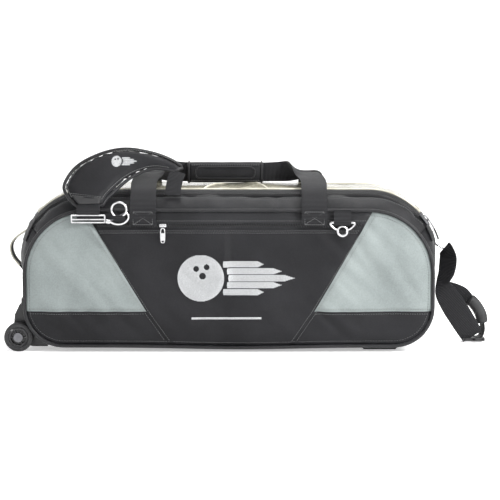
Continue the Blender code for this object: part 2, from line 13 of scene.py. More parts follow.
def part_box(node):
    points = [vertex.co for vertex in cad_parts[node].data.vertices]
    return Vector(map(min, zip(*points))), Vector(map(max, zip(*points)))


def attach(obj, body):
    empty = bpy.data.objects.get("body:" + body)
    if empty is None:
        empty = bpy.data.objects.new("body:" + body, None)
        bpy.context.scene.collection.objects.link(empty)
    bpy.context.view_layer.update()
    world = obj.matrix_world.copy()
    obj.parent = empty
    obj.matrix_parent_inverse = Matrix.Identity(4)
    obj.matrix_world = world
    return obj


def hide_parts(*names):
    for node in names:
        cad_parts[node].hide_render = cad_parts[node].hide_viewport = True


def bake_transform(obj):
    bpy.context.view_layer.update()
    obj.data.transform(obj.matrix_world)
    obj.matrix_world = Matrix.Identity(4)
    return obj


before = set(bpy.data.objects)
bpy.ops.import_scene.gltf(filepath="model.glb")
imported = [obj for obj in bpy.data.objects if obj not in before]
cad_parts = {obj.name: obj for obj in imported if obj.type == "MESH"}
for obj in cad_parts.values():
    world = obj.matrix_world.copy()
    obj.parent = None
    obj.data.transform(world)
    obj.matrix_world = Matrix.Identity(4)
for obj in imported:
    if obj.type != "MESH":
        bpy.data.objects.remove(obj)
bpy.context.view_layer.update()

# The sewn body's driving sizes, read from its CAD walls
WALL_LOW, WALL_HIGH = (Vector(corner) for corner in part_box("front_wall"))
REAR_HIGH = Vector(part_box("rear_wall")[1])
BX = (WALL_LOW.x + WALL_HIGH.x) / 2
PANEL_HALF = (WALL_HIGH.x - WALL_LOW.x) / 2
PANEL_LOW = WALL_LOW.z
PANEL_HIGH = WALL_HIGH.z
DEPTH_HALF = REAR_HIGH.y
TOP_RADIUS = 0.110
LOW_RADIUS = 0.066
TOP_BULGE = 0.039
END_BULGE = 0.008
BASE_BULGE = 0.002
BULGE_POWER = 4.4
TOP_RUN = PANEL_HALF - TOP_RADIUS
TOP_TURN = TOP_RUN + TOP_RADIUS * math.pi / 2
SIDE_RUN = TOP_TURN + PANEL_HIGH - PANEL_LOW - TOP_RADIUS - LOW_RADIUS
LOW_TURN = SIDE_RUN + LOW_RADIUS * math.pi / 2
LID_REACH = 0.335
LID_SHARE = 0.745
ZIP_SHARE = 0.775

# The front's seams: the silver panels end at a level seam and at a diagonal one
SEAM_Z = 0.0705
LEFT_SEAM = ((-0.2475, 0.2440), (-0.1419, 0.0705), (-0.1010, 0.0120))
RIGHT_SEAM = ((0.2480, 0.2440), (0.1475, 0.0705), (0.1080, 0.0120))
POCKET_ZIP_Z = 0.2190
SAG = 0.0032

ALONG_X = Vector((1, 0, 0))
ALONG_Y = Vector((0, 1, 0))
ALONG_Z = Vector((0, 0, 1))


# ---------------------------------------------------------------- materials

def new_material(name, colour, roughness, metallic=0.0):
    material = bpy.data.materials.new(name)
    material.use_nodes = True
    shader = material.node_tree.nodes["Principled BSDF"]
    shader.inputs["Base Color"].default_value = (*colour, 1)
    shader.inputs["Roughness"].default_value = roughness
    shader.inputs["Metallic"].default_value = metallic
    return material, material.node_tree, shader


def add_node(tree, kind, **settings):
    made = tree.nodes.new(kind)
    for key, value in settings.items():
        if key in made.inputs.keys():
            made.inputs[key].default_value = value
        else:
            setattr(made, key, value)
    return made


def coordinates(tree, kind="Object", scale=(1, 1, 1)):
    source = add_node(tree, "ShaderNodeTexCoord")
    mapping = add_node(tree, "ShaderNodeMapping", Scale=scale)
    tree.links.new(source.outputs[kind], mapping.inputs["Vector"])
    return mapping.outputs["Vector"]


def noise_value(tree, where, scale, detail=3.0):
    made = add_node(tree, "ShaderNodeTexNoise", Scale=scale, Detail=detail)
    tree.links.new(where, made.inputs["Vector"])
    return made.outputs["Fac"]


def wave_value(tree, where, scale, direction, distortion=0.0):
    made = add_node(tree, "ShaderNodeTexWave", Scale=scale, Distortion=distortion)
    made.bands_direction = direction
    tree.links.new(where, made.inputs["Vector"])
    return made.outputs["Fac"]


def combined(tree, operation, first, second):
    made = add_node(tree, "ShaderNodeMath", operation=operation)
    for value, socket in ((first, made.inputs[0]), (second, made.inputs[1])):
        if isinstance(value, (int, float)):
            socket.default_value = value
        else:
            tree.links.new(value, socket)
    return made.outputs["Value"]


def colour_ramp(tree, value, stops, socket):
    ramp = add_node(tree, "ShaderNodeValToRGB")
    elements = ramp.color_ramp.elements
    while len(elements) < len(stops):
        elements.new(0.5)
    for element, (place, colour) in zip(elements, stops):
        element.position = place
        element.color = (*colour, 1)
    tree.links.new(value, ramp.inputs["Fac"])
    tree.links.new(ramp.outputs["Color"], socket)


def roughness_range(tree, value, low, high, shader):
    made = add_node(tree, "ShaderNodeMapRange")
    made.inputs["To Min"].default_value = low
    made.inputs["To Max"].default_value = high
    tree.links.new(value, made.inputs["Value"])
    tree.links.new(made.outputs["Result"], shader.inputs["Roughness"])


def bump(tree, heights, shader):
    """Each (height, strength, distance) is stacked on the one before."""
    before = None
    for height, strength, distance in heights:
        made = add_node(tree, "ShaderNodeBump", Strength=strength, Distance=distance)
        tree.links.new(height, made.inputs["Height"])
        if before:
            tree.links.new(before, made.inputs["Normal"])
        before = made.outputs["Normal"]
    tree.links.new(before, shader.inputs["Normal"])


def woven(name, dark, light, roughness, pitch=0.0011, sheen=0.06, coat=0.0, fold=0.35):
    """Coated basket-weave nylon: crossed yarns, soft folds and a little colour variation."""
    material, tree, shader = new_material(name, light, roughness)
    where = coordinates(tree)
    yarn = math.pi / pitch / 10
    warp = wave_value(tree, where, yarn, "X")
    weft = wave_value(tree, where, yarn, "Z")
    depth = wave_value(tree, where, yarn, "Y")
    weave = combined(tree, "MULTIPLY", combined(tree, "MAXIMUM", warp, depth), weft)
    large = noise_value(tree, where, 9.0, 4.0)
    fine = noise_value(tree, where, 420.0, 2.0)
    mottled = combined(
        tree,
        "ADD",
        combined(tree, "MULTIPLY", large, 0.7),
        combined(tree, "MULTIPLY", fine, 0.3),
    )
    colour_ramp(tree, mottled, ((0.35, dark), (0.68, light)), shader.inputs["Base Color"])
    roughness_range(tree, large, roughness - 0.08, roughness + 0.10, shader)
    bump(tree, ((large, fold, 0.004), (weave, 0.45, 0.00035), (fine, 0.2, 0.0002)), shader)
    shader.inputs["Sheen Weight"].default_value = sheen
    shader.inputs["Sheen Roughness"].default_value = 0.4
    shader.inputs["Coat Weight"].default_value = coat
    shader.inputs["Coat Roughness"].default_value = 0.35
    shader.inputs["Specular IOR Level"].default_value = 0.16
    return material


def ribbed_webbing(name, dark, light, pitch=0.0024):
    """Webbing with ribs across it and a fine lengthways weave.

    u runs along the strap and v across it, in metres.
    """
    material, tree, shader = new_material(name, light, 0.62)
    where = coordinates(tree, "UV")
    ribs = wave_value(tree, where, math.pi / pitch / 10, "X")
    picks = wave_value(tree, where, math.pi / 0.0014 / 10, "Y")
    fuzz = noise_value(tree, coordinates(tree), 260.0, 3.0)
    # The colour follows the ribs: painted shade darkens the grooves between them, mixed with a random fuzz
    # tone.
    rib_shade_and_fuzz = combined(tree, "MULTIPLY", ribs, combined(tree, "ADD", fuzz, 0.35))
    colour_ramp(tree, rib_shade_and_fuzz, ((0.1, dark), (0.85, light)), shader.inputs["Base Color"])
    roughness_range(tree, fuzz, 0.5, 0.78, shader)
    bump(tree, ((ribs, 0.7, 0.0006), (picks, 0.35, 0.0002), (fuzz, 0.2, 0.0002)), shader)
    shader.inputs["Sheen Weight"].default_value = 0.08
    shader.inputs["Specular IOR Level"].default_value = 0.16
    return material


def worn_metal(name, colour=(0.66, 0.66, 0.67), roughness=0.22):
    material, tree, shader = new_material(name, colour, roughness, 1.0)
    where = coordinates(tree)
    cloud = noise_value(tree, where, 70.0, 5.0)
    scratch = noise_value(tree, coordinates(tree, "Object", (900, 60, 60)), 2.0, 3.0)
    dim = tuple(0.72 * part for part in colour)
    colour_ramp(tree, cloud, ((0.3, dim), (0.6, colour)), shader.inputs["Base Color"])
    roughness_range(tree, scratch, roughness - 0.08, roughness + 0.16, shader)
    bump(tree, ((scratch, 0.08, 0.0001), (cloud, 0.10, 0.0002)), shader)
    return material


def moulded(name, dark, light, roughness, grain=0.25):
    material, tree, shader = new_material(name, light, roughness)
    where = coordinates(tree)
    speck = noise_value(tree, where, 900.0, 3.0)
    cloud = noise_value(tree, where, 30.0, 4.0)
    colour_ramp(tree, cloud, ((0.35, dark), (0.65, light)), shader.inputs["Base Color"])
    roughness_range(tree, cloud, roughness - 0.07, roughness + 0.09, shader)
    bump(tree, ((speck, grain, 0.0003), (cloud, 0.12, 0.0008)), shader)
    return material


def clear_vinyl(name):
    """Flexible vinyl, a little yellowed, with slow ripples that break its reflections."""
    material, tree, shader = new_material(name, (0.46, 0.44, 0.34), 0.14)
    where = coordinates(tree)
    ripple = noise_value(tree, coordinates(tree, "Object", (7, 22, 12)), 1.0, 3.0)
    haze = noise_value(tree, where, 16.0, 3.0)
    colour_ramp(
        tree,
        haze,
        ((0.3, (0.37, 0.352, 0.275)), (0.7, (0.48, 0.457, 0.36))),
        shader.inputs["Base Color"],
    )
    roughness_range(tree, haze, 0.10, 0.24, shader)
    bump(tree, ((ripple, 0.55, 0.006), (haze, 0.10, 0.0006)), shader)
    shader.inputs["Alpha"].default_value = 0.62
    shader.inputs["Coat Weight"].default_value = 0.6
    shader.inputs["Coat Roughness"].default_value = 0.08
    return material


def thread(name, colour):
    """Twisted sewing thread."""
    material, tree, shader = new_material(name, colour, 0.5)
    where = coordinates(tree)
    twist = wave_value(tree, coordinates(tree, "Object", (1, 1, 1.6)), 260.0, "DIAGONAL")
    tone = noise_value(tree, where, 500.0, 2.0)
    dim = tuple(0.7 * part for part in colour)
    colour_ramp(tree, tone, ((0.3, dim), (0.7, colour)), shader.inputs["Base Color"])
    bump(tree, ((twist, 0.5, 0.0002), (tone, 0.2, 0.0001)), shader)
    shader.inputs["Sheen Weight"].default_value = 0.4
    return material


NYLON = woven(
    "black_nylon",
    (0.005, 0.005, 0.006),
    (0.014, 0.014, 0.016),
    0.50,
    sheen=0.03,
    coat=0.04,
    fold=0.6,
)
GATHERED = woven("gathered_nylon", (0.006, 0.006, 0.007), (0.018, 0.018, 0.020), 0.44, coat=0.10, fold=0.8)
SILVER = woven(
    "silver_nylon",
    (0.160, 0.182, 0.180),
    (0.245, 0.275, 0.270),
    0.46,
    sheen=0.12,
    coat=0.10,
    fold=0.7,
)
LINING = woven("lining", (0.020, 0.020, 0.022), (0.045, 0.045, 0.048), 0.7, pitch=0.0016)
PIPING = woven("piping_cloth", (0.008, 0.008, 0.009), (0.020, 0.020, 0.022), 0.42, pitch=0.0008, coat=0.2)
WEBBING = ribbed_webbing("ribbed_webbing", (0.003, 0.003, 0.004), (0.022, 0.022, 0.024))
# Cream colour of the lid welt and the grab strap edges; on the lid's arched bead the same cream is painted
# highlight.
CREAM_TRIM_AND_PAINTED_HIGHLIGHT = moulded("cream_trim_and_painted_highlight", (0.42, 0.40, 0.33), (0.66, 0.64, 0.55), 0.35)
VINYL = clear_vinyl("clear_vinyl")
METAL = worn_metal("nickel_plate")
DARK_METAL = worn_metal("gunmetal", (0.16, 0.16, 0.17), 0.3)
PLASTIC = moulded("moulded_plastic", (0.005, 0.005, 0.006), (0.013, 0.013, 0.014), 0.38)
RUBBER = moulded("tread_rubber", (0.006, 0.006, 0.007), (0.018, 0.018, 0.019), 0.66, grain=0.5)
FOAM = woven("padded_tricot", (0.018, 0.018, 0.020), (0.040, 0.040, 0.043), 0.85, pitch=0.0022, sheen=0.3)
LIGHT_THREAD = thread("light_thread", (0.10, 0.103, 0.103))
DARK_THREAD = thread("dark_thread", (0.04, 0.04, 0.042))
EMBROIDERY = thread("embroidery", (0.50, 0.51, 0.52))


# ---------------------------------------------------------------- mesh tools

def new_piece(name, points, faces, material, smooth_angle=50, uvs=None):
    data = bpy.data.meshes.new(name)
    data.from_pydata([tuple(point) for point in points], [], faces)
    if uvs:
        layer = data.uv_layers.new(name="strap")
        for loop in data.loops:
            layer.data[loop.index].uv = uvs[loop.vertex_index]
    data.shade_smooth()
    data.set_sharp_from_angle(angle=math.radians(smooth_angle))
    materials = material if isinstance(material, (list, tuple)) else [material]
    for each in materials:
        data.materials.append(each)
    piece = bpy.data.objects.new(name, data)
    bpy.context.collection.objects.link(piece)
    return piece


def face_out(piece):
    shape = bmesh.new()
    shape.from_mesh(piece.data)
    bmesh.ops.recalc_face_normals(shape, faces=shape.faces)
    shape.to_mesh(piece.data)
    shape.free()
    return piece


def apply_modifiers(piece):
    graph = bpy.context.evaluated_depsgraph_get()
    made = bpy.data.meshes.new_from_object(piece.evaluated_get(graph))
    piece.modifiers.clear()
    piece.data = made
    return piece


def thicken(piece, thickness, offset=-1.0):
    modifier = piece.modifiers.new("thickness", "SOLIDIFY")
    modifier.thickness = thickness
    modifier.offset = offset
    return piece


def soften(piece, width=0.001, segments=2):
    modifier = piece.modifiers.new("round", "BEVEL")
    modifier.width = width
    modifier.segments = segments
    modifier.limit_method = "ANGLE"
    return piece


def place(x, y, z):
    """A point given from the bag's own middle."""
    return Vector((x + BX, y, z))


def spread(first, last, count):
    return [first + (last - first) * i / count for i in range(count + 1)]


def eased(value, low, high):
    t = min(max((value - low) / (high - low), 0.0), 1.0)
    return t * t * (3 - 2 * t)


def smooth_path(points, steps=6, closed=False):
    """A Catmull-Rom curve through vectors of any length."""
    count = len(points)
    if closed:
        ends = [points[-1]] + list(points) + [points[0], points[1]]
    else:
        ends = [points[0] * 2 - points[1]] + list(points) + [points[-1] * 2 - points[-2]]
    path = []
    for i in range(1, count + (1 if closed else 0)):
        before, here, after, beyond = ends[i - 1 : i + 3]
        for step in range(steps):
            t = step / steps
            linear = (after - before) * t
            square = (before * 2 - here * 5 + after * 4 - beyond) * t**2
            cube = (here * 3 - before - after * 3 + beyond) * t**3
            path.append((here * 2 + linear + square + cube) * 0.5)
    return path if closed else path + [points[-1].copy()]


def tube(name, path, radius, material, sides=12, closed=False, flatten=1.0):
    """A round cord of cloth or metal along the path, with closed ends. radius may be a function of 0 to 1."""
    count = len(path)
    normal = None
    rings = []
    for i, point in enumerate(path):
        if closed:
            run = (path[(i + 1) % count] - path[i - 1]).normalized()
        else:
            run = (path[min(i + 1, count - 1)] - path[max(i - 1, 0)]).normalized()
        if normal is None:
            normal = run.orthogonal().normalized()
            if abs(run.y) < 0.9:
                normal = (ALONG_Y - run * run.y).normalized()
        normal = (normal - run * normal.dot(run)).normalized()
        side = run.cross(normal)
        size = radius(i / max(count - 1, 1)) if callable(radius) else radius
        ring = []
        for step in range(sides):
            angle = 2 * math.pi * step / sides
            ring.append(point + normal * size * math.cos(angle) + side * size * flatten * math.sin(angle))
        rings.append(ring)
    points = [point for ring in rings for point in ring]
    faces = []
    for i in range(count if closed else count - 1):
        here, after = i * sides, (i + 1) % count * sides
        faces += [
            (here + j, here + (j + 1) % sides, after + (j + 1) % sides, after + j)
            for j in range(sides)
        ]
    if not closed:
        faces += [tuple(range(sides))[::-1], tuple(range((count - 1) * sides, count * sides))]
    return face_out(new_piece(name, points, faces, material, 60))


def band(name, stations, thickness, material, steps=6, cells=8, crown=0.0, closed=False):
    """Webbing through (point, direction of its width, width) stations, with a UV in metres."""
    rows = [Vector((*point, *across, width)) for point, across, width in stations]
    rows = [Vector(row) for row in rows]
    path = smooth_path(rows, steps, closed) if steps > 1 else rows
    last = len(path) - 1
    points, uvs, faces = [], [], []
    travelled = 0.0
    section = []
    for level in (1, -1):
        shares = spread(-1, 1, cells)
        for share in shares if level > 0 else reversed(shares):
            edge = math.sqrt(max(1 - max(abs(share) - 0.9, 0) ** 2 * 60, 0.16))
            section.append((share, level * edge))
    size = len(section)
    for i, row in enumerate(path):
        point = Vector(row[:3])
        ahead = Vector(path[(i + 1) % (last + 1)][:3]) if closed else Vector(path[min(i + 1, last)][:3])
        behind = Vector(path[i - 1][:3]) if closed else Vector(path[max(i - 1, 0)][:3])
        run = (ahead - behind).normalized()
        across = Vector(row[3:6])
        across = (across - run * across.dot(run)).normalized()
        face = run.cross(across)
        if i:
            travelled += (point - Vector(path[i - 1][:3])).length
        for share, level in section:
            lift = level * thickness / 2 + crown * (1 - share * share)
            points.append(point + across * share * row[6] / 2 + face * lift)
            uvs.append((travelled, share * row[6] / 2))
    for i in range(last + 1 if closed else last):
        here, after = i * size, (i + 1) % (last + 1) * size
        faces += [(here + j, here + (j + 1) % size, after + (j + 1) % size, after + j) for j in range(size)]
    if not closed:
        faces += [tuple(range(size))[::-1], tuple(range(last * size, (last + 1) * size))]
    piece = new_piece(name, points, faces, material, 60, uvs)
    return face_out(piece)


def bars(name, marks, length, width, height, material):
    """Short thread or tooth bars, one at each (point, run, out), as one mesh of small domed blocks."""
    points, faces = [], []
    for point, run, out in marks:
        run = run.normalized()
        out = (out - run * out.dot(run)).normalized()
        side = run.cross(out)
        base = len(points)
        for share in (-1, -0.55, 0.55, 1):
            low = 0.25 if abs(share) == 1 else 1.0
            middle = point + run * share * length / 2
            points += [
                middle - side * width / 2 - out * height * 0.3,
                middle - side * width * 0.32 + out * height * low,
                middle + side * width * 0.32 + out * height * low,
                middle + side * width / 2 - out * height * 0.3,
            ]
        for i in range(3):
            here = base + 4 * i
            faces += [(here + j, here + (j + 1) % 4, here + 4 + (j + 1) % 4, here + 4 + j) for j in range(4)]
        faces += [(base, base + 1, base + 2, base + 3), (base + 15, base + 14, base + 13, base + 12)]
    return face_out(new_piece(name, points, faces, material, 40))


def marks_along(path, outs, pitch):
    """Even places along a path, each with its run and outward direction."""
    marks = []
    left = pitch / 2
    for i in range(len(path) - 1):
        step = path[i + 1] - path[i]
        length = step.length
        while left <= length and length > 0:
            share = left / length
            marks.append((path[i] + step * share, step.copy(), outs[i].lerp(outs[i + 1], share)))
            left += pitch
        left -= length
    return marks


def joined(name, pieces):
    """Several pieces of one kind made into one object."""
    keep = pieces[0]
    for piece in pieces:
        apply_modifiers(piece)
    shape = bmesh.new()
    materials = []
    for piece in pieces:
        offset = len(shape.faces)
        shape.from_mesh(piece.data)
        shape.faces.ensure_lookup_table()
        for material in piece.data.materials:
            if material not in materials:
                materials.append(material)
        slots = [materials.index(material) for material in piece.data.materials]
        for face in shape.faces[offset:]:
            face.material_index = slots[face.material_index]
    data = bpy.data.meshes.new(name)
    shape.to_mesh(data)
    shape.free()
    for material in materials:
        data.materials.append(material)
    for piece in pieces[1:]:
        bpy.data.objects.remove(piece)
    keep.data = data
    keep.name = name
    return keep


def block(name, low, high, material, rounding=0.0008):
    points = [
        Vector((x, y, z))
        for x in (low[0], high[0])
        for y in (low[1], high[1])
        for z in (low[2], high[2])
    ]
    faces = [(0, 1, 3, 2), (4, 6, 7, 5), (0, 4, 5, 1), (2, 3, 7, 6), (0, 2, 6, 4), (1, 5, 7, 3)]
    return apply_modifiers(soften(face_out(new_piece(name, points, faces, material)), rounding, 3))


def puffed(piece, voxel=0.0045, pressure=4.0, cap=0.006, frames=18):
    """Inflates a closed form as sewn cloth over foam. No point moves further than the cap."""
    remesh = piece.modifiers.new("remesh", "REMESH")
    remesh.mode = "VOXEL"
    remesh.voxel_size = voxel
    apply_modifiers(piece)
    rest = [vertex.co.copy() for vertex in piece.data.vertices]
    cloth = piece.modifiers.new("cloth", "CLOTH")
    cloth.settings.use_pressure = True
    cloth.settings.uniform_pressure_force = pressure
    cloth.settings.effector_weights.gravity = 0
    cloth.settings.quality = 4
    cloth.point_cache.frame_start = 1
    cloth.point_cache.frame_end = frames
    for step in range(1, frames + 1):
        bpy.context.scene.frame_set(step)
    apply_modifiers(piece)
    bpy.context.scene.frame_set(1)
    for vertex, start in zip(piece.data.vertices, rest):
        moved = vertex.co - start
        if moved.length > cap:
            vertex.co = start + moved * (cap / moved.length)
    divide = piece.modifiers.new("fine", "SUBSURF")
    divide.levels = 1
    divide.render_levels = 1
    apply_modifiers(piece)
    piece.data.shade_smooth()
    return piece


# ---------------------------------------------------------------- the body's surface

def outline(along):
    """A point (x, z) of the panels' edge and its outward direction, by distance from the top centre."""
    side = math.copysign(1, along)
    reach = abs(along)
    if reach < TOP_RUN:
        return side * reach, PANEL_HIGH, 0.0, 1.0
    if reach < TOP_TURN:
        angle = (reach - TOP_RUN) / TOP_RADIUS
        x = TOP_RUN + TOP_RADIUS * math.sin(angle)
        return side * x, PANEL_HIGH + TOP_RADIUS * (
            math.cos(angle) - 1
        ), side * math.sin(angle), math.cos(angle)
    if reach < SIDE_RUN:
        return side * PANEL_HALF, PANEL_HIGH - TOP_RADIUS - (reach - TOP_TURN), side, 0.0
    if reach < LOW_TURN:
        angle = math.pi / 2 + (reach - SIDE_RUN) / LOW_RADIUS
        x = PANEL_HALF + LOW_RADIUS * (math.sin(angle) - 1)
        return side * x, PANEL_LOW + LOW_RADIUS * (
            1 + math.cos(angle)
        ), side * math.sin(angle), math.cos(angle)
    x = side * (PANEL_HALF - LOW_RADIUS - (reach - LOW_TURN))
    return x, PANEL_LOW - SAG * math.exp(-(((x - 0.02) / 0.13) ** 2)), 0.0, -1.0


def skin(along, across, out=0.0):
    """A point of the strip between the panels. across runs from -1 at the front to 1 at the rear."""
    x, z, out_x, out_z = outline(along)
    if out_z > 0:
        swell = END_BULGE + (TOP_BULGE - END_BULGE) * out_z
    else:
        swell = END_BULGE + (END_BULGE - BASE_BULGE) * out_z
    lift = swell * (1 - abs(across) ** BULGE_POWER) + out
    return place(x + out_x * lift, DEPTH_HALF * across, z + out_z * lift)


def skin_out(along, across):
    """The strip's outward direction."""
    run = skin(along + 0.001, across) - skin(along - 0.001, across)
    over = skin(along, across + 0.004) - skin(along, across - 0.004)
    out = over.cross(run).normalized()
    _, _, out_x, out_z = outline(along)
    return out if out.dot(Vector((out_x, 0, out_z))) > 0 else -out


def edge_stops(fine=0.006, coarse=0.012):
    """Distances once round the outline, closer together in the corners."""
    half = spread(0, TOP_RUN, int(TOP_RUN / coarse))
    half += spread(TOP_RUN, TOP_TURN, int((TOP_TURN - TOP_RUN) / fine))[1:]
    half += spread(TOP_TURN, SIDE_RUN, 6)[1:]
    half += spread(SIDE_RUN, LOW_TURN, int((LOW_TURN - SIDE_RUN) / fine))[1:]
    half += spread(LOW_TURN, LOW_TURN + PANEL_HALF - LOW_RADIUS, 30)[1:]
    return half + [-stop for stop in reversed(half[1:-1])]


def panel_depth_inside(x, z):
    """How far a point of the panel lies inside its rounded edge."""
    x = abs(x)
    high = z > (PANEL_HIGH + PANEL_LOW) / 2
    radius = TOP_RADIUS if high else LOW_RADIUS
    from_level = PANEL_HIGH - z if high else z - PANEL_LOW
    from_end = PANEL_HALF - x
    if from_level < radius and from_end < radius:
        return radius - math.hypot(radius - from_level, radius - from_end)
    return min(from_level, from_end)


def seam_x(seam, z):
    for (x0, z0), (x1, z1) in zip(seam, seam[1:]):
        if z >= z1:
            return x0 + (x1 - x0) * (z0 - z) / (z0 - z1)
    return seam[-1][0]


def groove(distance, width=0.0028):
    return math.exp(-((distance / width) ** 2))


def front_swell(x, z):
    """How far the front stands out of its flat wall: padding, seams, puckers and soft folds."""
    inside = max(panel_depth_inside(x, z), 0.0)
    swell = 0.0085 * (1 - math.exp(-inside / 0.028))
    left = (x - seam_x(LEFT_SEAM, z)) * 0.86
    right = (seam_x(RIGHT_SEAM, z) - x) * 0.86
    outer = left < 0 or right < 0
    swell -= 0.0022 * (groove(left) + groove(right))
    if outer:
        swell -= 0.0020 * groove(z - SEAM_Z)
    elif z > POCKET_ZIP_Z - 0.03:
        swell -= 0.0028 * groove(z - POCKET_ZIP_Z, 0.0045)
        swell += 0.0010 * math.sin(z * 900) * groove(z - 0.236, 0.008)
    near = min(abs(left), abs(right), abs(z - SEAM_Z) if outer else 1.0)
    pucker = math.exp(-near / 0.011) * math.sin((x + z * 0.7) * 330) * 0.00045
    lean = 1 if x > 0 else -1
    fold = Vector((x * 9 + z * 12, z * 5 - x * 6, 3.7 + lean))
    long_fold = Vector(((x + z) * 24, (x - z) * 3.5, 9.1 + lean))
    depth = 0.0092 if outer else 0.0044
    waves = noise.noise(fold) * depth + (abs(noise.noise(long_fold)) - 0.2) * depth * 0.95
    small = noise.noise(Vector((x * 60, z * 60, 1.5))) * 0.0006
    calm = eased(inside, 0.0, 0.035)
    return swell + pucker + (waves + small) * calm


def rear_swell(x, z):
    inside = max(panel_depth_inside(x, z), 0.0)
    swell = 0.0075 * (1 - math.exp(-inside / 0.03))
    waves = noise.noise(Vector((x * 7, z * 9, 21.0))) * 0.0040
    waves += (abs(noise.noise(Vector((x * 22 - z * 9, z * 4, 30.0)))) - 0.2) * 0.0030
    swell -= 0.0020 * (groove(x - 0.19) + groove(x + 0.19))
    return swell + waves * eased(inside, 0.0, 0.035)


def sliced(shape, point, normal, chosen=None):
    faces = [face for face in shape.faces if chosen is None or chosen(face.calc_center_median())]
    edges = {edge for face in faces for edge in face.edges}
    verts = {vert for face in faces for vert in face.verts}
    geometry = list(verts) + list(edges) + faces
    bmesh.ops.bisect_plane(shape, geom=geometry, dist=1e-6, plane_co=point, plane_no=normal)


def cell_panel(name, seams, swell, side, material_of, materials, cell=0.0055, y0=DEPTH_HALF):
    """A rounded panel cut exactly along its seams, then into cells, each point moved out by the swell."""
    shape = bmesh.new()
    rim = []
    for along in edge_stops(0.004, 0.010):
        x, z, _, _ = outline(along)
        rim.append(shape.verts.new((x, 0, z)))
    shape.faces.new(rim)
    if seams:
        sliced(shape, (0, 0, SEAM_Z), (0, 0, 1))
        for seam in seams:
            for (x0, z0), (x1, z1) in zip(seam, seam[1:]):
                upper = z1 > SEAM_Z - 0.001
                part = (lambda centre: centre.z > SEAM_Z) if upper else (lambda centre: centre.z < SEAM_Z)
                sliced(shape, (x0, 0, z0), (z1 - z0, 0, x0 - x1), part)
    for i in range(1, int(2 * PANEL_HALF / cell)):
        sliced(shape, (-PANEL_HALF + i * cell, 0, 0), (1, 0, 0))
    for i in range(1, int((PANEL_HIGH - PANEL_LOW) / cell) + 1):
        sliced(shape, (0, 0, PANEL_LOW + i * cell), (0, 0, 1))
    shape.normal_update()
    if shape.faces[:][0].normal.y * side < 0:
        bmesh.ops.reverse_faces(shape, faces=shape.faces[:])
    for face in shape.faces:
        centre = face.calc_center_median()
        face.material_index = material_of(centre.x, centre.z)
        face.smooth = True
    for vert in shape.verts:
        x, z = vert.co.x, vert.co.z
        vert.co = place(x, side * (y0 + swell(x, z)), z)
    data = bpy.data.meshes.new(name)
    shape.to_mesh(data)
    shape.free()
    for material in materials:
        data.materials.append(material)
    piece = bpy.data.objects.new(name, data)
    bpy.context.collection.objects.link(piece)
    return piece


def front_material(x, z):
    outer = x < seam_x(LEFT_SEAM, z) or x > seam_x(RIGHT_SEAM, z)
    if outer and z > SEAM_Z:
        return 1
    if not outer and z > POCKET_ZIP_Z:
        return 2
    return 0


def make_front():
    panel = cell_panel(
        "front_panel", (LEFT_SEAM, RIGHT_SEAM), front_swell, -1, front_material, (
            NYLON,
            SILVER,
            GATHERED,
            LINING,
        )
    )
    thicken(panel, 0.0035)
    panel.modifiers["thickness"].material_offset = 3
    apply_modifiers(panel)
    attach(panel, "bag")
    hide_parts("front_wall", "front_pocket_panel")
    return panel


def make_rear():
    panel = cell_panel("rear_panel", (), rear_swell, 1, lambda x, z: 0, (NYLON, LINING), 0.008)
    thicken(panel, 0.0035)
    panel.modifiers["thickness"].material_offset = 1
    apply_modifiers(panel)
    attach(panel, "bag")
    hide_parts("rear_wall")


def strip(name, alongs, acrosses, ripple, materials, thickness=0.003, top=0.0):
    """A sewn sheet of the strip between the panels. ripple(along, across) moves it out."""
    columns = len(acrosses)
    points = []
    for along in alongs:
        for across in acrosses:
            points.append(skin(along, across, top) + skin_out(along, across) * ripple(along, across))
    faces = []
    for row in range(len(alongs) - 1):
        for column in range(columns - 1):
            here = row * columns + column
            faces.append((here, here + 1, here + columns + 1, here + columns))
    piece = new_piece(name, points, faces, materials, 180)
    middle = len(faces) // 2
    row, column = divmod(middle, columns - 1)
    if piece.data.polygons[middle].normal.dot(skin_out(alongs[row], acrosses[column])) < 0:
        piece.data.flip_normals()
    thicken(piece, thickness)
    piece.modifiers["thickness"].material_offset = len(materials) - 1
    return apply_modifiers(piece)


def gusset_ripple(along, across):
    """Gathers run across the band, deepest beside the zip."""
    beside_zip = eased(abs(across), STRIP_END, 0.78)
    gather = noise.noise(Vector((along * 55, across * 6, 2.0))) * 0.0014
    gather += (abs(noise.noise(Vector((along * 24, across * 2, 33.0)))) - 0.2) * 0.0040
    soft = noise.noise(Vector((along * 12, across * 4, 8.0))) * 0.0022
    stitch = -0.0008 * groove((abs(across) - 0.83) * DEPTH_HALF, 0.002)
    return gather * (0.4 + 0.6 * beside_zip) + soft * 0.6 + stitch


STRIP_END = 0.985


def make_gussets():
    stops = spread(-LID_REACH - 0.004, LID_REACH + 0.004, 150)
    for name, side in (("front", -1), ("rear", 1)):
        shares = [side * share for share in spread(STRIP_END, 0.785, 12)]
        piece = strip(f"{name}_gusset_cloth", stops, shares, gusset_ripple, (GATHERED, LINING))
        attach(piece, "bag")
        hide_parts(f"{name}_gusset")


def end_ripple(along, across):
    soft = noise.noise(Vector((along * 9, across * 3.5, 5.0 + math.copysign(1, along)))) * 0.0042
    small = noise.noise(Vector((along * 34, across * 10, 15.0))) * 0.0009
    calm = eased(STRIP_END - abs(across), 0.0, 0.2)
    return (soft + small) * calm - 0.001 * (1 - calm)


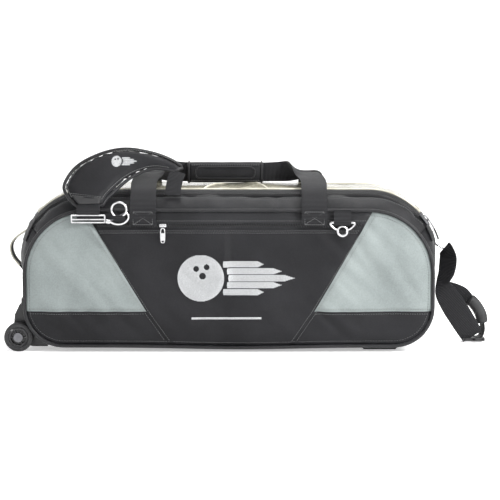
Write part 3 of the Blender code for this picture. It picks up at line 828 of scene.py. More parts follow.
def make_ends():
    first = LID_REACH + 0.004
    shares = spread(-STRIP_END, STRIP_END, 46)
    for name, side in (("wheel_end", -1), ("pull_end", 1)):
        stops = [side * stop for stop in spread(first, LOW_TURN, 60)]
        piece = strip(f"{name}_cloth", stops, shares, end_ripple, (NYLON, LINING))
        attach(piece, "bag")
        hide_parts(f"{name}_panel")
    end = LOW_TURN + PANEL_HALF - LOW_RADIUS
    under = strip(
        "base_cloth",
        spread(LOW_TURN, 2 * end - LOW_TURN, 70),
        shares,
        base_ripple,
        (NYLON, LINING),
    )
    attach(under, "bag")
    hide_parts("base_panel")


def base_ripple(along, across):
    return noise.noise(Vector((along * 14, across * 4, 40.0))) * 0.0006


def make_piping():
    for name, side in (("front", -1), ("rear", 1)):
        path = []
        for along in edge_stops():
            x, z, out_x, out_z = outline(along)
            path.append(place(x + out_x * 0.0012, side * (DEPTH_HALF + 0.0016), z + out_z * 0.0012))
        cord = tube(f"{name}_piping_cord", path, 0.0031, PIPING, 12, closed=True)
        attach(cord, "bag")
        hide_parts(f"{name}_piping")
        outer, outs = [], []
        for along in edge_stops(0.003, 0.004):
            x, z, out_x, out_z = outline(along)
            inside = 0.0075
            spot_x, spot_z = x - out_x * inside, z - out_z * inside
            swell = front_swell(spot_x, spot_z) if side < 0 else rear_swell(spot_x, spot_z)
            outer.append(place(spot_x, side * (DEPTH_HALF + swell + 0.0002), spot_z))
            outs.append(ALONG_Y * side)
        stitches = bars(
            f"{name}_edge_stitches",
            marks_along(outer, outs, 0.0046),
            0.0032,
            0.0007,
            0.0005,
            DARK_THREAD,
        )
        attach(stitches, "bag")


def front_spot(x, z, lift=0.0003):
    return place(x, -(DEPTH_HALF + front_swell(x, z) + lift), z)


def front_stitch_row(points, name, pitch=0.0042, material=None):
    """Stitches along a line of (x, z) on the front, on its own puckered surface."""
    path = []
    for (x0, z0), (x1, z1) in zip(points, points[1:]):
        count = max(int(math.hypot(x1 - x0, z1 - z0) / 0.004), 1)
        path += [front_spot(x0 + (x1 - x0) * i / count, z0 + (z1 - z0) * i / count) for i in range(count)]
    path.append(front_spot(*points[-1]))
    outs = [-ALONG_Y] * len(path)
    return bars(name, marks_along(path, outs, pitch), 0.0026, 0.0006, 0.0004, material or LIGHT_THREAD)


def edge_limit(z):
    """The panel's half length at a height, a little inside its piping."""
    low, high = 0.0, PANEL_HALF
    for _ in range(24):
        middle = (low + high) / 2
        if panel_depth_inside(middle, z) > 0.006:
            low = middle
        else:
            high = middle
    return low


def make_front_stitching():
    rows = []
    off = 0.0042
    for i, (seam, side) in enumerate(((LEFT_SEAM, 1), (RIGHT_SEAM, -1))):
        for shift in (off, -off):
            line = [(x + side * shift, z - 0.007 if j == 0 else z) for j, (x, z) in enumerate(seam)]
            line[-1] = (seam_x(seam, 0.020) + side * shift, 0.020)
            rows.append(front_stitch_row(line, f"diagonal_{i}_{shift}"))
    for side, seam in ((-1, LEFT_SEAM), (1, RIGHT_SEAM)):
        for level in (SEAM_Z - 0.004, SEAM_Z + 0.004):
            inner = seam_x(seam, level) + side * 0.006
            rows.append(
                front_stitch_row([(side * edge_limit(level), level), (inner, level)], f"level_{side}_{level}")
            )
    for level in (0.2105, 0.2070, 0.2275):
        left, right = seam_x(LEFT_SEAM, level) + 0.004, seam_x(RIGHT_SEAM, level) - 0.004
        rows.append(front_stitch_row([(left, level), (right, level)], f"pocket_{level}"))
    piece = joined("front_seam_stitches", rows)
    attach(piece, "bag")


# ---------------------------------------------------------------- zips

def zip_teeth(name, path, outs, pitch, size, material):
    """Coil teeth: leaning bars that alternate from one side to the other of the chain's middle."""
    marks = []
    for i, (point, run, out) in enumerate(marks_along(path, outs, pitch)):
        side = run.normalized().cross(out).normalized()
        lean = side + run.normalized() * 0.25
        marks.append((point + side * size * (0.28 if i % 2 else -0.28), lean, out))
    return bars(name, marks, size, pitch * 0.72, 0.0011, material)


def make_main_zip():
    end = LID_REACH + 0.006
    route = [(-end, across) for across in spread(0.72, -0.72, 24)]
    route += [(along, -ZIP_SHARE) for along in spread(-LID_REACH - 0.001, LID_REACH + 0.001, 160)]
    route += [(end, across) for across in spread(-0.72, 0.72, 24)]
    path = [skin(*stop, 0.0012) for stop in route]
    outs = [skin_out(*stop) for stop in route]
    teeth = zip_teeth("main_zip_coil", path, outs, 0.0021, 0.0046, PLASTIC)
    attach(teeth, "bag")
    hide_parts("main_zip_chain")
    stations = [
        (
            skin(*stop, 0.0001),
            skin_out(*stop).cross((path[min(i + 1, len(path) - 1)] - path[max(i - 1, 0)])).normalized(),
            0.0085,
        )
        for i, stop in enumerate(route)
    ]
    tape = band("main_zip_tape", stations, 0.0008, WEBBING, 1, 4)
    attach(tape, "bag")
    for name, side in (("front", -1), ("rear", 1)):
        stops = [(along, side * 0.83) for along in spread(-LID_REACH, LID_REACH, 220)]
        line = [skin(*stop) + skin_out(*stop) * (gusset_ripple(*stop) + 0.0003) for stop in stops]
        row = bars(
            f"{name}_gusset_stitches",
            marks_along(line, [skin_out(*stop) for stop in stops], 0.0044),
            0.003,
            0.0008,
            0.0006,
            LIGHT_THREAD,
        )
        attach(row, "bag")


def make_pocket_zip():
    left = seam_x(LEFT_SEAM, POCKET_ZIP_Z) + 0.006
    right = seam_x(RIGHT_SEAM, POCKET_ZIP_Z) - 0.006
    xs = spread(left, right, 110)
    path = [front_spot(x, POCKET_ZIP_Z, 0.0008) for x in xs]
    teeth = zip_teeth("pocket_zip_coil", path, [-ALONG_Y] * len(path), 0.0021, 0.0044, PLASTIC)
    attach(teeth, "bag")
    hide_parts("pocket_zip_chain")
    rows = [(front_spot(x, POCKET_ZIP_Z, 0.0001), ALONG_Z, 0.0105) for x in xs]
    tape = band("pocket_zip_tape", rows, 0.0008, WEBBING, 1, 4)
    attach(tape, "bag")


# ---------------------------------------------------------------- the lid

def window_ripple(along, across):
    """Slack vinyl: long soft waves along the bag, and an arched crease over the middle cell."""
    wave = noise.noise(Vector((along * 7, across * 1.6, 60.0))) * 0.0042
    wave += noise.noise(Vector((along * 22, across * 3.0, 66.0))) * 0.0014
    x = along - 0.012
    arch = 0.62 - 1.05 * (x / 0.062) ** 2
    ridge = math.exp(-(((across + arch) / 0.055) ** 2)) if abs(x) < 0.060 else 0.0
    calm = eased(0.70 - abs(across), 0.0, 0.14) * eased(LID_REACH - 0.02 - abs(along), 0.0, 0.05)
    return wave * calm + 0.0012 * ridge * calm


def make_lid():
    reach = LID_REACH - 0.0135
    share = LID_SHARE - 0.088
    alongs = spread(-reach, reach, 170)
    acrosses = spread(-share, share, 40)
    window = strip("lid_window_vinyl", alongs, acrosses, window_ripple, (VINYL,), 0.0011)
    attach(window, "lid")
    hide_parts("lid_window")

    route, widths = lid_edge()
    border = band("lid_border", widths, 0.0020, NYLON, 1, 6, 0.0004)
    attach(border, "lid")
    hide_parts("lid_frame")
    lip = tube(
        "lid_window_welt",
        [point + out * 0.0012 for point, out in route],
        0.0016,
        CREAM_TRIM_AND_PAINTED_HIGHLIGHT,
        10,
        closed=True,
    )
    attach(lip, "lid")
    make_lid_seam()
    make_lid_arch_highlight()
    path = [point + out * 0.0012 for point, out in lid_loop(0.0085)]
    outs = [out for _, out in lid_loop(0.0085)]
    row = bars("lid_border_stitches", marks_along(path, outs, 0.0042), 0.0029, 0.0007, 0.0006, LIGHT_THREAD)
    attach(row, "lid")


def make_lid_seam():
    """The folded cloth that hinges the lid's rear edge to the rear gusset."""
    alongs = spread(-LID_REACH + 0.006, LID_REACH - 0.006, 110)
    shares = spread(LID_SHARE - 0.050, 0.800, 10)
    for name, side in (("wheel_end", -1), ("pull_end", 1)):
        stops = spread(side * (LID_REACH - 0.016), side * (LID_REACH + 0.012), 8)
        flap = strip(
            f"{name}_zip_guard",
            stops,
            spread(-0.80, 0.80, 40),
            lambda along,
            across: 0.0,
            (NYLON,),
            0.0012,
            -0.0032,
        )
        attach(flap, "bag")
    fold = strip("lid_hinge_cloth", alongs, shares, lambda along, across: 0.0006, (NYLON,), 0.0014, 0.0006)
    hinge_z = skin(0, LID_SHARE).z
    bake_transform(fold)


def make_lid_arch_highlight():
    """A raised cream bead that arches over the middle cell, painted highlight in place of the vinyl's
    reflection there.
    """
    path = []
    for step in range(41):
        x = -0.056 + 0.112 * step / 40
        across = -0.62 + 0.64 * (1 - (x / 0.056) ** 2)
        along = x + 0.012
        lift = window_ripple(along, across) + 0.0006
        path.append(skin(along, across) + skin_out(along, across) * lift)
    # The cream colour of this bead is painted highlight: it stands for the light the vinyl reflects over the
    # middle cell, not a cream trim.
    bead = tube("lid_arch_painted_highlight", path, 0.0017, CREAM_TRIM_AND_PAINTED_HIGHLIGHT, 10)
    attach(bead, "lid")


def lid_loop(inset):
    """Points once round the lid, this far inside its edge, each with its outward direction."""
    reach = LID_REACH - inset
    share = LID_SHARE - inset / DEPTH_HALF
    corner = 0.012
    half_y = share * DEPTH_HALF
    rim = []
    for sx, sy, start in ((1, -1, -90), (1, 1, 0), (-1, 1, 90), (-1, -1, 180)):
        for step in range(9):
            angle = math.radians(start + step * 90 / 8)
            rim.append(
                (
                    sx * (reach - corner) + corner * math.cos(angle),
                    sy * (half_y - corner) + corner * math.sin(angle),
                )
            )
    loop = []
    for i, (a0, y0) in enumerate(rim):
        a1, y1 = rim[(i + 1) % len(rim)]
        steps = max(int(math.hypot(a1 - a0, y1 - y0) / 0.005), 1)
        loop += [(a0 + (a1 - a0) * j / steps, y0 + (y1 - y0) * j / steps) for j in range(steps)]
    return [(skin(along, y / DEPTH_HALF), skin_out(along, y / DEPTH_HALF)) for along, y in loop]


def lid_edge():
    route = lid_loop(0.0150)
    middle = lid_loop(0.0075)
    stations = []
    count = len(middle)
    for i, (point, out) in enumerate(middle):
        run = middle[(i + 1) % count][0] - middle[i - 1][0]
        stations.append((point - out * 0.0006, out.cross(run).normalized(), 0.0148))
    return route, stations + [stations[0]]


# ---------------------------------------------------------------- handles

HARDWARE_Y = 0.137
HARDWARE_Z = 0.222
HANDLE_X = 0.147


def handle_stations(side):
    """Flat up the wall, then turned on edge where it enters the grip."""
    half_turn = (ALONG_X + ALONG_Z).normalized()
    leg = [
        ((-HANDLE_X, HARDWARE_Y - 0.0005, HARDWARE_Z - 0.003), ALONG_X, 0.044),
        ((-HANDLE_X, HARDWARE_Y + 0.0015, 0.246), ALONG_X, 0.044),
        ((-HANDLE_X, 0.116, 0.277), ALONG_X, 0.044),
        ((-HANDLE_X + 0.001, 0.077, 0.2945), ALONG_X, 0.044),
        ((-0.134, 0.038, 0.3035), ALONG_X, 0.041),
        ((-0.109, 0.0125, 0.306), half_turn, 0.037),
        ((-0.084, 0.0045, 0.305), ALONG_Z, 0.034),
    ]
    stations = [(place(x, side * y, z), across, width) for (x, y, z), across, width in leg]
    inner = [(place(x, side * 0.0028, 0.304), ALONG_Z, 0.033) for x in (-0.04, 0.0, 0.04)]
    mirrored = []
    for point, across, width in reversed(stations):
        turned = Vector((across.x, 0, -across.z)) if across.x else across
        mirrored.append((Vector((2 * BX - point.x, point.y, point.z)), turned, width))
    whole = stations + inner + mirrored
    for i in range(1, len(whole)):
        if whole[i][1].dot(whole[i - 1][1]) < -0.2:
            whole[i] = (whole[i][0], -whole[i][1], whole[i][2])
    return whole


def make_handle(name, side):
    body = f"{name}_handle"
    webbing = band(f"{name}_handle_strap", handle_stations(side), 0.0026, WEBBING, 10, 10, 0.0004)
    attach(webbing, body)
    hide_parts(f"{name}_handle_webbing")
    low, high = (Vector(corner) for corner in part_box(f"{name}_handle_grip"))
    make_grip(name, side, body, low, high)
    for end, x in (("left", -HANDLE_X), ("right", HANDLE_X)):
        marks = []
        half = 0.0165
        top, bottom = 0.2435, 0.2215
        lines = [((x - half, bottom), (x + half, bottom)), ((x - half, top), (x + half, top))]
        lines += [((x - half, bottom), (x - half, top)), ((x + half, bottom), (x + half, top))]
        lines += [((x - half, bottom), (x + half, top)), ((x - half, top), (x + half, bottom))]
        for (x0, z0), (x1, z1) in lines:
            path = [place(x0, side * handle_face(z0), z0), place(x1, side * handle_face(z1), z1)]
            marks += marks_along(path, [ALONG_Y * side] * 2, 0.0036)
        row = bars(f"{name}_handle_box_{end}", marks, 0.0027, 0.0007, 0.0007, LIGHT_THREAD)
        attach(row, body)


def handle_face(z):
    return HARDWARE_Y + 0.0010 + 0.0018 * eased(z, 0.219, 0.246) + 0.0006


def make_grip(name, side, body, low, high):
    """Half of the padded wrap, with its bound flap, rounded patch and stitching."""
    centre_z = (low.z + high.z) / 2
    tall = (high.z - low.z) / 2
    inner = min(abs(low.y), abs(high.y)) - 0.0030
    outer = max(abs(low.y), abs(high.y)) - 0.0012
    rows = spread(low.x, high.x, 36)
    points, faces = [], []
    profile = []
    for step in range(17):
        angle = math.radians(-90 + step * 180 / 16)
        flat = 0.62
        shape_y = math.copysign(abs(math.cos(angle)) ** flat, math.cos(angle))
        shape_z = math.copysign(abs(math.sin(angle)) ** flat, math.sin(angle))
        profile.append((inner + (outer - inner) * shape_y, shape_z * tall * 0.97))
    size = len(profile)
    for i, x in enumerate(rows):
        share = i / (len(rows) - 1)
        end = min(share, 1 - share)
        fat = 0.84 + 0.16 * eased(end, 0.0, 0.10) + 0.02 * math.sin(share * 23 + side)
        for y, z in profile:
            points.append(Vector((x, side * (inner + (y - inner) * fat), centre_z + z * (0.90 + 0.10 * fat))))
    for i in range(len(rows) - 1):
        here = i * size
        faces += [
            (here + j, here + (j + 1) % size, here + size + (j + 1) % size, here + size + j)
            for j in range(size)
        ]
    faces += [tuple(range(size)), tuple(range((len(rows) - 1) * size, len(rows) * size))[::-1]]
    grip = face_out(new_piece(f"{name}_grip_wrap", points, faces, NYLON, 70))
    puffed(grip, 0.0040, 3.0, 0.0012, 12)
    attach(grip, body)
    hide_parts(f"{name}_handle_grip")
    face_y = side * (outer + 0.0006)
    loop = []
    half_x, half_z, corner = (high.x - low.x) / 2 - 0.016, tall * 0.52, 0.008
    for sx, sz, start in ((1, -1, -90), (1, 1, 0), (-1, 1, 90), (-1, -1, 180)):
        for step in range(7):
            angle = math.radians(start + step * 15)
            x = (low.x + high.x) / 2 + sx * (half_x - corner) + corner * math.cos(angle)
            loop.append(Vector((x, face_y, centre_z + sz * (half_z - corner) + corner * math.sin(angle))))
    welt = tube(f"{name}_grip_welt", loop, 0.0013, PIPING, 8, closed=True)
    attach(welt, body)
    ends = []
    for x in (low.x + 0.004, high.x - 0.004):
        ring = []
        for y, z in profile:
            ring.append(Vector((x, side * (inner + (y - inner) * 0.93 + 0.0006), centre_z + z * 0.985)))
        ends.append(tube("binding", ring, 0.0017, PIPING, 8))
    binding = joined(f"{name}_grip_binding", ends)
    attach(binding, body)
    row = []
    for level in (-0.72, 0.72):
        path = [
            Vector((x, side * (outer - 0.0016), centre_z + level * tall))
            for x in spread(low.x + 0.008, high.x - 0.008, 30)
        ]
        row += marks_along(path, [Vector((0, side, level))] * len(path), 0.0042)
    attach(bars(f"{name}_grip_stitches", row, 0.003, 0.0007, 0.0007, LIGHT_THREAD), body)


# ---------------------------------------------------------------- shoulder strap

LEAN = 0.716
PAD_FOOT_Y = -0.128
PAD_FOOT_Z = 0.255
PAD_OUTER = [
    (-0.262, 0.253),
    (-0.277, 0.268),
    (-0.284, 0.288),
    (-0.264, 0.318),
    (-0.2245, 0.339),
    (-0.1815, 0.3475),
]
PAD_OUTER += [(-0.135, 0.341), (-0.1006, 0.329), (-0.080, 0.316)]
PAD_INNER = [
    (-0.216, 0.254),
    (-0.2115, 0.262),
    (-0.204, 0.270),
    (-0.190, 0.283),
    (-0.176, 0.295),
    (-0.157, 0.306),
]
PAD_INNER += [(-0.133, 0.314), (-0.110, 0.3135), (-0.096, 0.310)]


def pad_point(x, z, out=0.0):
    facing = Vector((0, -1, LEAN)).normalized()
    return place(x, PAD_FOOT_Y + (z - PAD_FOOT_Z) * LEAN, z) + facing * out


def make_shoulder_pad():
    facing = Vector((0, -1, LEAN)).normalized()
    outer = smooth_path([Vector((x, z)) for x, z in PAD_OUTER], 5)
    inner = smooth_path([Vector((x, z)) for x, z in PAD_INNER], 5)
    across_cells = 12
    half = 0.0048
    points, faces = [], []
    for far, near in zip(outer, inner):
        for level in (1, -1):
            for j in range(across_cells + 1):
                share = j / across_cells
                spot = near.lerp(far, share)
                edge = min(share, 1 - share)
                thick = half * (0.35 + 0.65 * eased(edge, 0.0, 0.22))
                points.append(pad_point(spot.x, spot.y, level * thick))
    size = across_cells + 1
    block_size = 2 * size
    order = list(range(size)) + list(range(2 * size - 1, size - 1, -1))
    for i in range(len(outer) - 1):
        here = i * block_size
        for j in range(block_size):
            a, b = order[j], order[(j + 1) % block_size]
            faces.append((here + a, here + b, here + block_size + b, here + block_size + a))
    last = (len(outer) - 1) * block_size
    faces += [tuple(order), tuple(last + i for i in reversed(order))]
    pad = face_out(new_piece("shoulder_pad_cushion", points, faces, NYLON, 70))
    puffed(pad, 0.0042, 4.0, 0.0022, 16)
    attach(pad, "shoulder_strap")
    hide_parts("shoulder_pad")
    rim = [Vector((point.x, point.y)) for point in outer] + [
        Vector((point.x, point.y))
        for point in reversed(inner)
    ]
    cord = tube(
        "shoulder_pad_binding",
        [pad_point(point.x, point.y, 0.0006) for point in rim],
        0.0030,
        PIPING,
        10,
        closed=True,
    )
    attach(cord, "shoulder_strap")
    marks = []
    for share in (0.09, 0.91):
        path = [near.lerp(far, share) for far, near in zip(outer, inner)]
        path = [pad_point(spot.x, spot.y, 0.0052) for spot in path[4:-3]]
        marks += marks_along(path, [facing] * len(path), 0.0042)
    for step in (0.14, 0.17):
        near, far = inner[int(step * len(inner))], outer[int(step * len(outer))]
        path = [pad_point(*near.lerp(far, share), 0.0062) for share in spread(0.12, 0.88, 12)]
        marks += marks_along(path, [facing] * len(path), 0.0042)
    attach(bars("shoulder_pad_stitches", marks, 0.003, 0.0008, 0.0009, LIGHT_THREAD), "shoulder_strap")
    grip_points, grip_faces = [], []
    for near, far in [(inner[i], outer[i]) for i in range(0, 6)]:
        for share in spread(0.12, 0.88, 10):
            spot = near.lerp(far, share)
            grip_points.append(pad_point(spot.x, spot.y, 0.0066))
    for i in range(5):
        for j in range(10):
            here = i * 11 + j
            grip_faces.append((here, here + 1, here + 12, here + 11))
    texture = new_piece("shoulder_pad_patch", grip_points, grip_faces, RUBBER)
    apply_modifiers(thicken(face_out(texture), 0.0012))
    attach(texture, "shoulder_strap")
    small_emblem()


def make_strap_hardware():
    body = "shoulder_strap"
    drop = [
        (place(-0.2405, -0.1310, 0.2560), ALONG_X, 0.0400),
        (place(-0.2405, -0.1378, 0.2450), ALONG_X, 0.0400),
        (place(-0.2405, -0.1396, 0.2340), ALONG_X, 0.0395),
        (place(-0.2405, -0.1375, 0.2290), ALONG_X, 0.0395),
    ]
    webbing = band("strap_drop", drop, 0.0026, WEBBING, 6, 10)
    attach(webbing, body)
    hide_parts("strap_webbing")
    low, high = (Vector(corner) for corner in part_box("strap_slide_bar"))
    rims = []
    for level in (low.z + 0.0010, high.z - 0.0008, high.z + 0.0062):
        ends = [
            Vector((low.x + 0.001, (low.y + high.y) / 2, level)),
            Vector((high.x - 0.001, (low.y + high.y) / 2, level)),
        ]
        rims.append(tube("bar", smooth_path(ends, 4), 0.0016, METAL, 10))
    for x in (low.x + 0.001, high.x - 0.001):
        ends = [
            Vector((x, (low.y + high.y) / 2, low.z + 0.001)),
            Vector((x, (low.y + high.y) / 2, high.z + 0.0062)),
        ]
        rims.append(tube("bar", smooth_path(ends, 4), 0.0016, METAL, 10))
    slide = joined("strap_tri_glide", rims)
    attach(slide, body)
    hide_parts("strap_slide_bar")
    hook_route = [
        (-0.2085, 0.2270),
        (-0.2020, 0.2262),
        (-0.1960, 0.2235),
        (-0.1880, 0.2225),
        (-0.1790, 0.2245),
    ]
    hook_route += [(-0.1725, 0.2305), (-0.1715, 0.2375), (-0.1760, 0.2435)]
    path = smooth_path([place(x, -0.1402, z) for x, z in hook_route], 6)
    hook = tube("strap_snap_hook", path, lambda t: 0.0024 - 0.0007 * t, METAL, 12)
    barrel = tube(
        "barrel",
        [place(x, -0.1402, z) for x, z in ((-0.2100, 0.2275), (-0.2030, 0.2263))],
        0.0040,
        METAL,
        14,
    )
    gate = tube(
        "gate",
        [place(-0.2020, -0.1402, 0.2285), place(-0.1765, -0.1402, 0.2425)],
        0.0012,
        DARK_METAL,
        8,
    )
    hook = joined("strap_snap_hook", [hook, barrel, gate])
    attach(hook, body)
    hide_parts("strap_hook")
    low, high = (Vector(corner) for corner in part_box("left_strap_ring"))
    centre = (low + high) / 2
    loop = []
    for step in range(40):
        angle = 2 * math.pi * step / 40
        loop.append(centre + Vector((0.0128 * math.cos(angle), 0, 0.0125 * math.sin(angle))))
    ring = tube("left_ring_wire", loop, 0.0019, METAL, 12, closed=True)
    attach(ring, body)
    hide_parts("left_strap_ring")
    loop_web = [
        (place(-0.1885, -0.1360, 0.2250), ALONG_X, 0.024),
        (place(-0.1885, -0.1398, 0.2300), ALONG_X, 0.024),
        (place(-0.1885, -0.1420, 0.2345), ALONG_X, 0.022),
        (place(-0.1885, -0.1398, 0.2375), ALONG_X, 0.022),
        (place(-0.1885, -0.1375, 0.2350), ALONG_X, 0.022),
    ]
    piece = band("left_ring_loop", loop_web, 0.0020, WEBBING, 6, 6)
    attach(piece, body)
    tail = [
        (place(-0.0880, -0.0900, 0.3090), ALONG_X, 0.027),
        (place(-0.0915, -0.0960, 0.3010), ALONG_X, 0.027),
        (place(-0.0945, -0.1020, 0.2890), ALONG_X, 0.027),
        (place(-0.0960, -0.1075, 0.2790), ALONG_X, 0.027),
        (place(-0.0965, -0.1115, 0.2705), ALONG_X, 0.027),
    ]
    piece = band("strap_tail_webbing", tail, 0.0026, WEBBING, 6, 8)
    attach(piece, body)
    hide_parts("strap_tail")


# ---------------------------------------------------------------- emblems

def raised_disc(name, spots, holes, centre, radius, material, lift):
    """Satin-stitched threads that fill a circle, leaving its finger holes bare.

    spots maps (u, v) to a point.
    """
    marks = []
    pitch = 0.00115
    rows = int(2 * radius / pitch)
    for i in range(rows):
        v = -radius + (i + 0.5) * pitch
        half = math.sqrt(max(radius * radius - v * v, 0))
        pieces = [(-half, half)]
        for hole_u, hole_v, hole_r in holes:
            if abs(v - hole_v) < hole_r:
                gap = math.sqrt(hole_r**2 - (v - hole_v) ** 2)
                cut_up = []
                for low, high in pieces:
                    if hole_u - gap > low and hole_u + gap < high:
                        cut_up += [(low, hole_u - gap), (hole_u + gap, high)]
                    else:
                        cut_up.append((low, high))
                pieces = cut_up
        for low, high in pieces:
            if high - low > 0.001:
                marks.append((low, high, v))
    return threads(name, marks, centre, spots, material, lift)


def threads(name, marks, centre, spots, material, lift):
    """Threads laid from low to high at height v, sunk at both ends, as fine domed ribbons."""
    points, faces = [], []
    width = 0.00062
    for low, high, v in marks:
        count = max(int((high - low) / 0.006), 2)
        base = len(points)
        for j in range(count + 1):
            u = low + (high - low) * j / count
            end = min(j, count - j) / count
            rise = lift * (0.25 + 0.75 * eased(end, 0.0, 0.16))
            for offset, level in ((-width, -0.3), (-width * 0.5, 0.85), (width * 0.5, 0.85), (width, -0.3)):
                points.append(spots(centre[0] + u, centre[1] + v + offset, rise * level))
        for j in range(count):
            here = base + 4 * j
            faces += [(here + k, here + (k + 1) % 4, here + 4 + (k + 1) % 4, here + 4 + k) for k in range(4)]
        faces += [(base, base + 1, base + 2, base + 3), tuple(base + 4 * count + k for k in (3, 2, 1, 0))]
    return face_out(new_piece(name, points, faces, material, 60))


def emblem_marks(radius):
    """Five speed stripes beside the ball, each tapering to the right."""
    marks = []
    stripes = (
        (0.60, 0.95, 1.75, 0.13),
        (0.30, 1.12, 2.35, 0.13),
        (0.0, 1.18, 2.85, 0.14),
        (-0.30, 1.12, 2.35, 0.13),
        (-0.60, 0.95, 1.75, 0.13),
    )
    for v0, start, length, tall in stripes:
        rows = max(int(2 * tall * radius / 0.00115), 2)
        for j in range(rows):
            share = (j + 0.5) / rows * 2 - 1
            v = v0 * radius + share * tall * radius
            begin = start * radius + abs(share) * 0.02 * radius
            marks.append((begin, begin + length * radius * (1 - 0.16 * abs(share)), v))
    return marks


def make_emblem():
    radius = 0.0400
    centre = (-0.0480, 0.1290)

    def spots(x, z, out):
        return front_spot(x, z, 0.0004 + out)

    holes = ((-0.008, 0.016, 0.0050), (0.010, 0.019, 0.0050), (0.003, 0.0035, 0.0058))
    ball = raised_disc("emblem_ball", spots, holes, centre, radius, EMBROIDERY, 0.0013)
    stripes = threads("emblem_stripes", emblem_marks(radius), centre, spots, EMBROIDERY, 0.0013)
    rule = threads(
        "emblem_rule",
        [(-0.058, 0.062, i * 0.00115) for i in range(3)],
        (-0.006, 0.0585),
        spots,
        EMBROIDERY,
        0.0011,
    )
    for piece in (ball, stripes, rule):
        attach(piece, "bag")


def small_emblem():
    radius = 0.0092

    def spots(x, z, out):
        return pad_point(x, z, 0.0068 + out)

    centre = (-0.1950, 0.3235)
    holes = ((-0.0022, 0.0034, 0.0013), (0.0024, 0.0040, 0.0013))
    ball = raised_disc("pad_emblem_ball", spots, holes, centre, radius, EMBROIDERY, 0.0008)
    stripes = threads("pad_emblem_stripes", emblem_marks(radius), centre, spots, EMBROIDERY, 0.0008)
    for piece in (ball, stripes):
        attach(piece, "shoulder_strap")


# ---------------------------------------------------------------- small hardware

def make_right_ring():
    low, high = (Vector(corner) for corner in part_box("right_ring"))
    centre_x, y = (low.x + high.x) / 2, (low.y + high.y) / 2
    top = high.z - 0.0018
    corners = [(-0.0205, top), (-0.0150, top - 0.0085), (-0.0078, top - 0.0125), (-0.0074, top - 0.0185)]
    corners += [(0.0, top - 0.0210), (0.0074, top - 0.0185), (0.0078, top - 0.0125), (0.0150, top - 0.0085)]
    corners += [(0.0205, top), (0.0, top + 0.0002)]
    path = smooth_path([Vector((centre_x + x, y, z)) for x, z in corners], 5, closed=True)
    wire = tube("right_ring_wire", path, 0.0019, METAL, 12, closed=True)
    eye = []
    for step in range(30):
        angle = 2 * math.pi * step / 30
        eye.append(
            Vector((centre_x + 0.0084 * math.cos(angle), y - 0.0004, top - 0.0140 + 0.0084 * math.sin(angle)))
        )
    wire = joined("right_ring_wire", [wire, tube("eye", eye, 0.0018, METAL, 10, closed=True)])
    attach(wire, "right_d_ring")
    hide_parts("right_ring")
    tab = [
        (place(0.195, -0.1345, 0.2440), ALONG_X, 0.030),
        (place(0.195, -0.1385, 0.2340), ALONG_X, 0.030),
        (place(0.195, -0.1412, 0.2270), ALONG_X, 0.030),
        (place(0.195, -0.1390, 0.2212), ALONG_X, 0.030),
        (place(0.195, -0.1355, 0.2225), ALONG_X, 0.030),
    ]
    loop = band("right_ring_loop", tab, 0.0016, WEBBING, 6, 8)
    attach(loop, "bag")
    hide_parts("right_ring_tab")


def make_sliders():
    low, high = (Vector(corner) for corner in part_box("pocket_zip_slider"))
    centre = (low + high) / 2
    shoe = block("shoe", (low.x, low.y + 0.0022, low.z), (high.x, high.y, high.z), METAL, 0.0011)
    arch = [
        centre + Vector((x, y, 0))
        for x, y in ((-0.0042, -0.0006), (-0.0024, -0.0030), (0.0024, -0.0030), (0.0042, -0.0006))
    ]
    bridge = tube("bridge", smooth_path(arch, 5), 0.0008, METAL, 8)
    slider = joined("pocket_slider_shoe", [shoe, bridge])
    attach(slider, "pocket_slider")
    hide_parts("pocket_zip_slider")
    low, high = (Vector(corner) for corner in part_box("pocket_zip_pull"))
    x, y = (low.x + high.x) / 2, (low.y + high.y) / 2
    rim = [(0, 0), (-0.0034, -0.004), (-0.0030, -0.022), (0.0, -0.0248), (0.0030, -0.022), (0.0034, -0.004)]
    path = smooth_path([Vector((x + dx, y, high.z - 0.0008 + dz)) for dx, dz in rim], 5, closed=True)
    wire = tube("pocket_pull_wire", path, 0.0009, METAL, 8, closed=True)
    plate = block(
        "plate",
        (x - 0.0030, y - 0.0005, low.z + 0.004),
        (x + 0.0030, y + 0.0005, low.z + 0.017),
        METAL,
        0.0004,
    )
    pull = joined("pocket_pull_tab", [wire, plate])
    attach(pull, "pocket_pull")
    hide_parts("pocket_zip_pull")
    along = TOP_RUN + TOP_RADIUS * math.radians(46)
    stations = [
        (skin(along + step, -ZIP_SHARE, 0.0054), ALONG_Y, width)
        for step, width in ((-0.0085, 0.006), (-0.004, 0.0105), (0.004, 0.0105), (0.0085, 0.008))
    ]
    shoe = band("main_slider_shoe", stations, 0.0044, DARK_METAL, 3, 6)
    bail = [
        skin(along + step, -ZIP_SHARE, out)
        for step, out in ((-0.005, 0.0076), (-0.002, 0.0106), (0.003, 0.0106), (0.006, 0.0076))
    ]
    bridge = tube("bridge", smooth_path(bail, 5), 0.0010, DARK_METAL, 8)
    shoe = joined("main_slider_shoe", [shoe, bridge])
    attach(shoe, "main_slider")
    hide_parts("main_zip_slider")
    loop = []
    for step in range(24):
        angle = 2 * math.pi * step / 24
        base = skin(along + 0.012 + 0.010 * math.cos(angle), -ZIP_SHARE, 0.0112)
        loop.append(base + ALONG_Y * 0.0032 * math.sin(angle))
    wire = tube("main_pull_wire", loop, 0.0009, DARK_METAL, 8, closed=True)
    tab = [
        (skin(along + step, -ZIP_SHARE, 0.0112), ALONG_Y, 0.0080)
        for step in (0.019, 0.024, 0.030, 0.0345)
    ]
    grip = band("main_pull_cord", tab, 0.0026, RUBBER, 4, 6)
    pull = joined("main_pull_tab", [wire, grip])
    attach(pull, "main_slider")
    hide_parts("main_zip_pull")


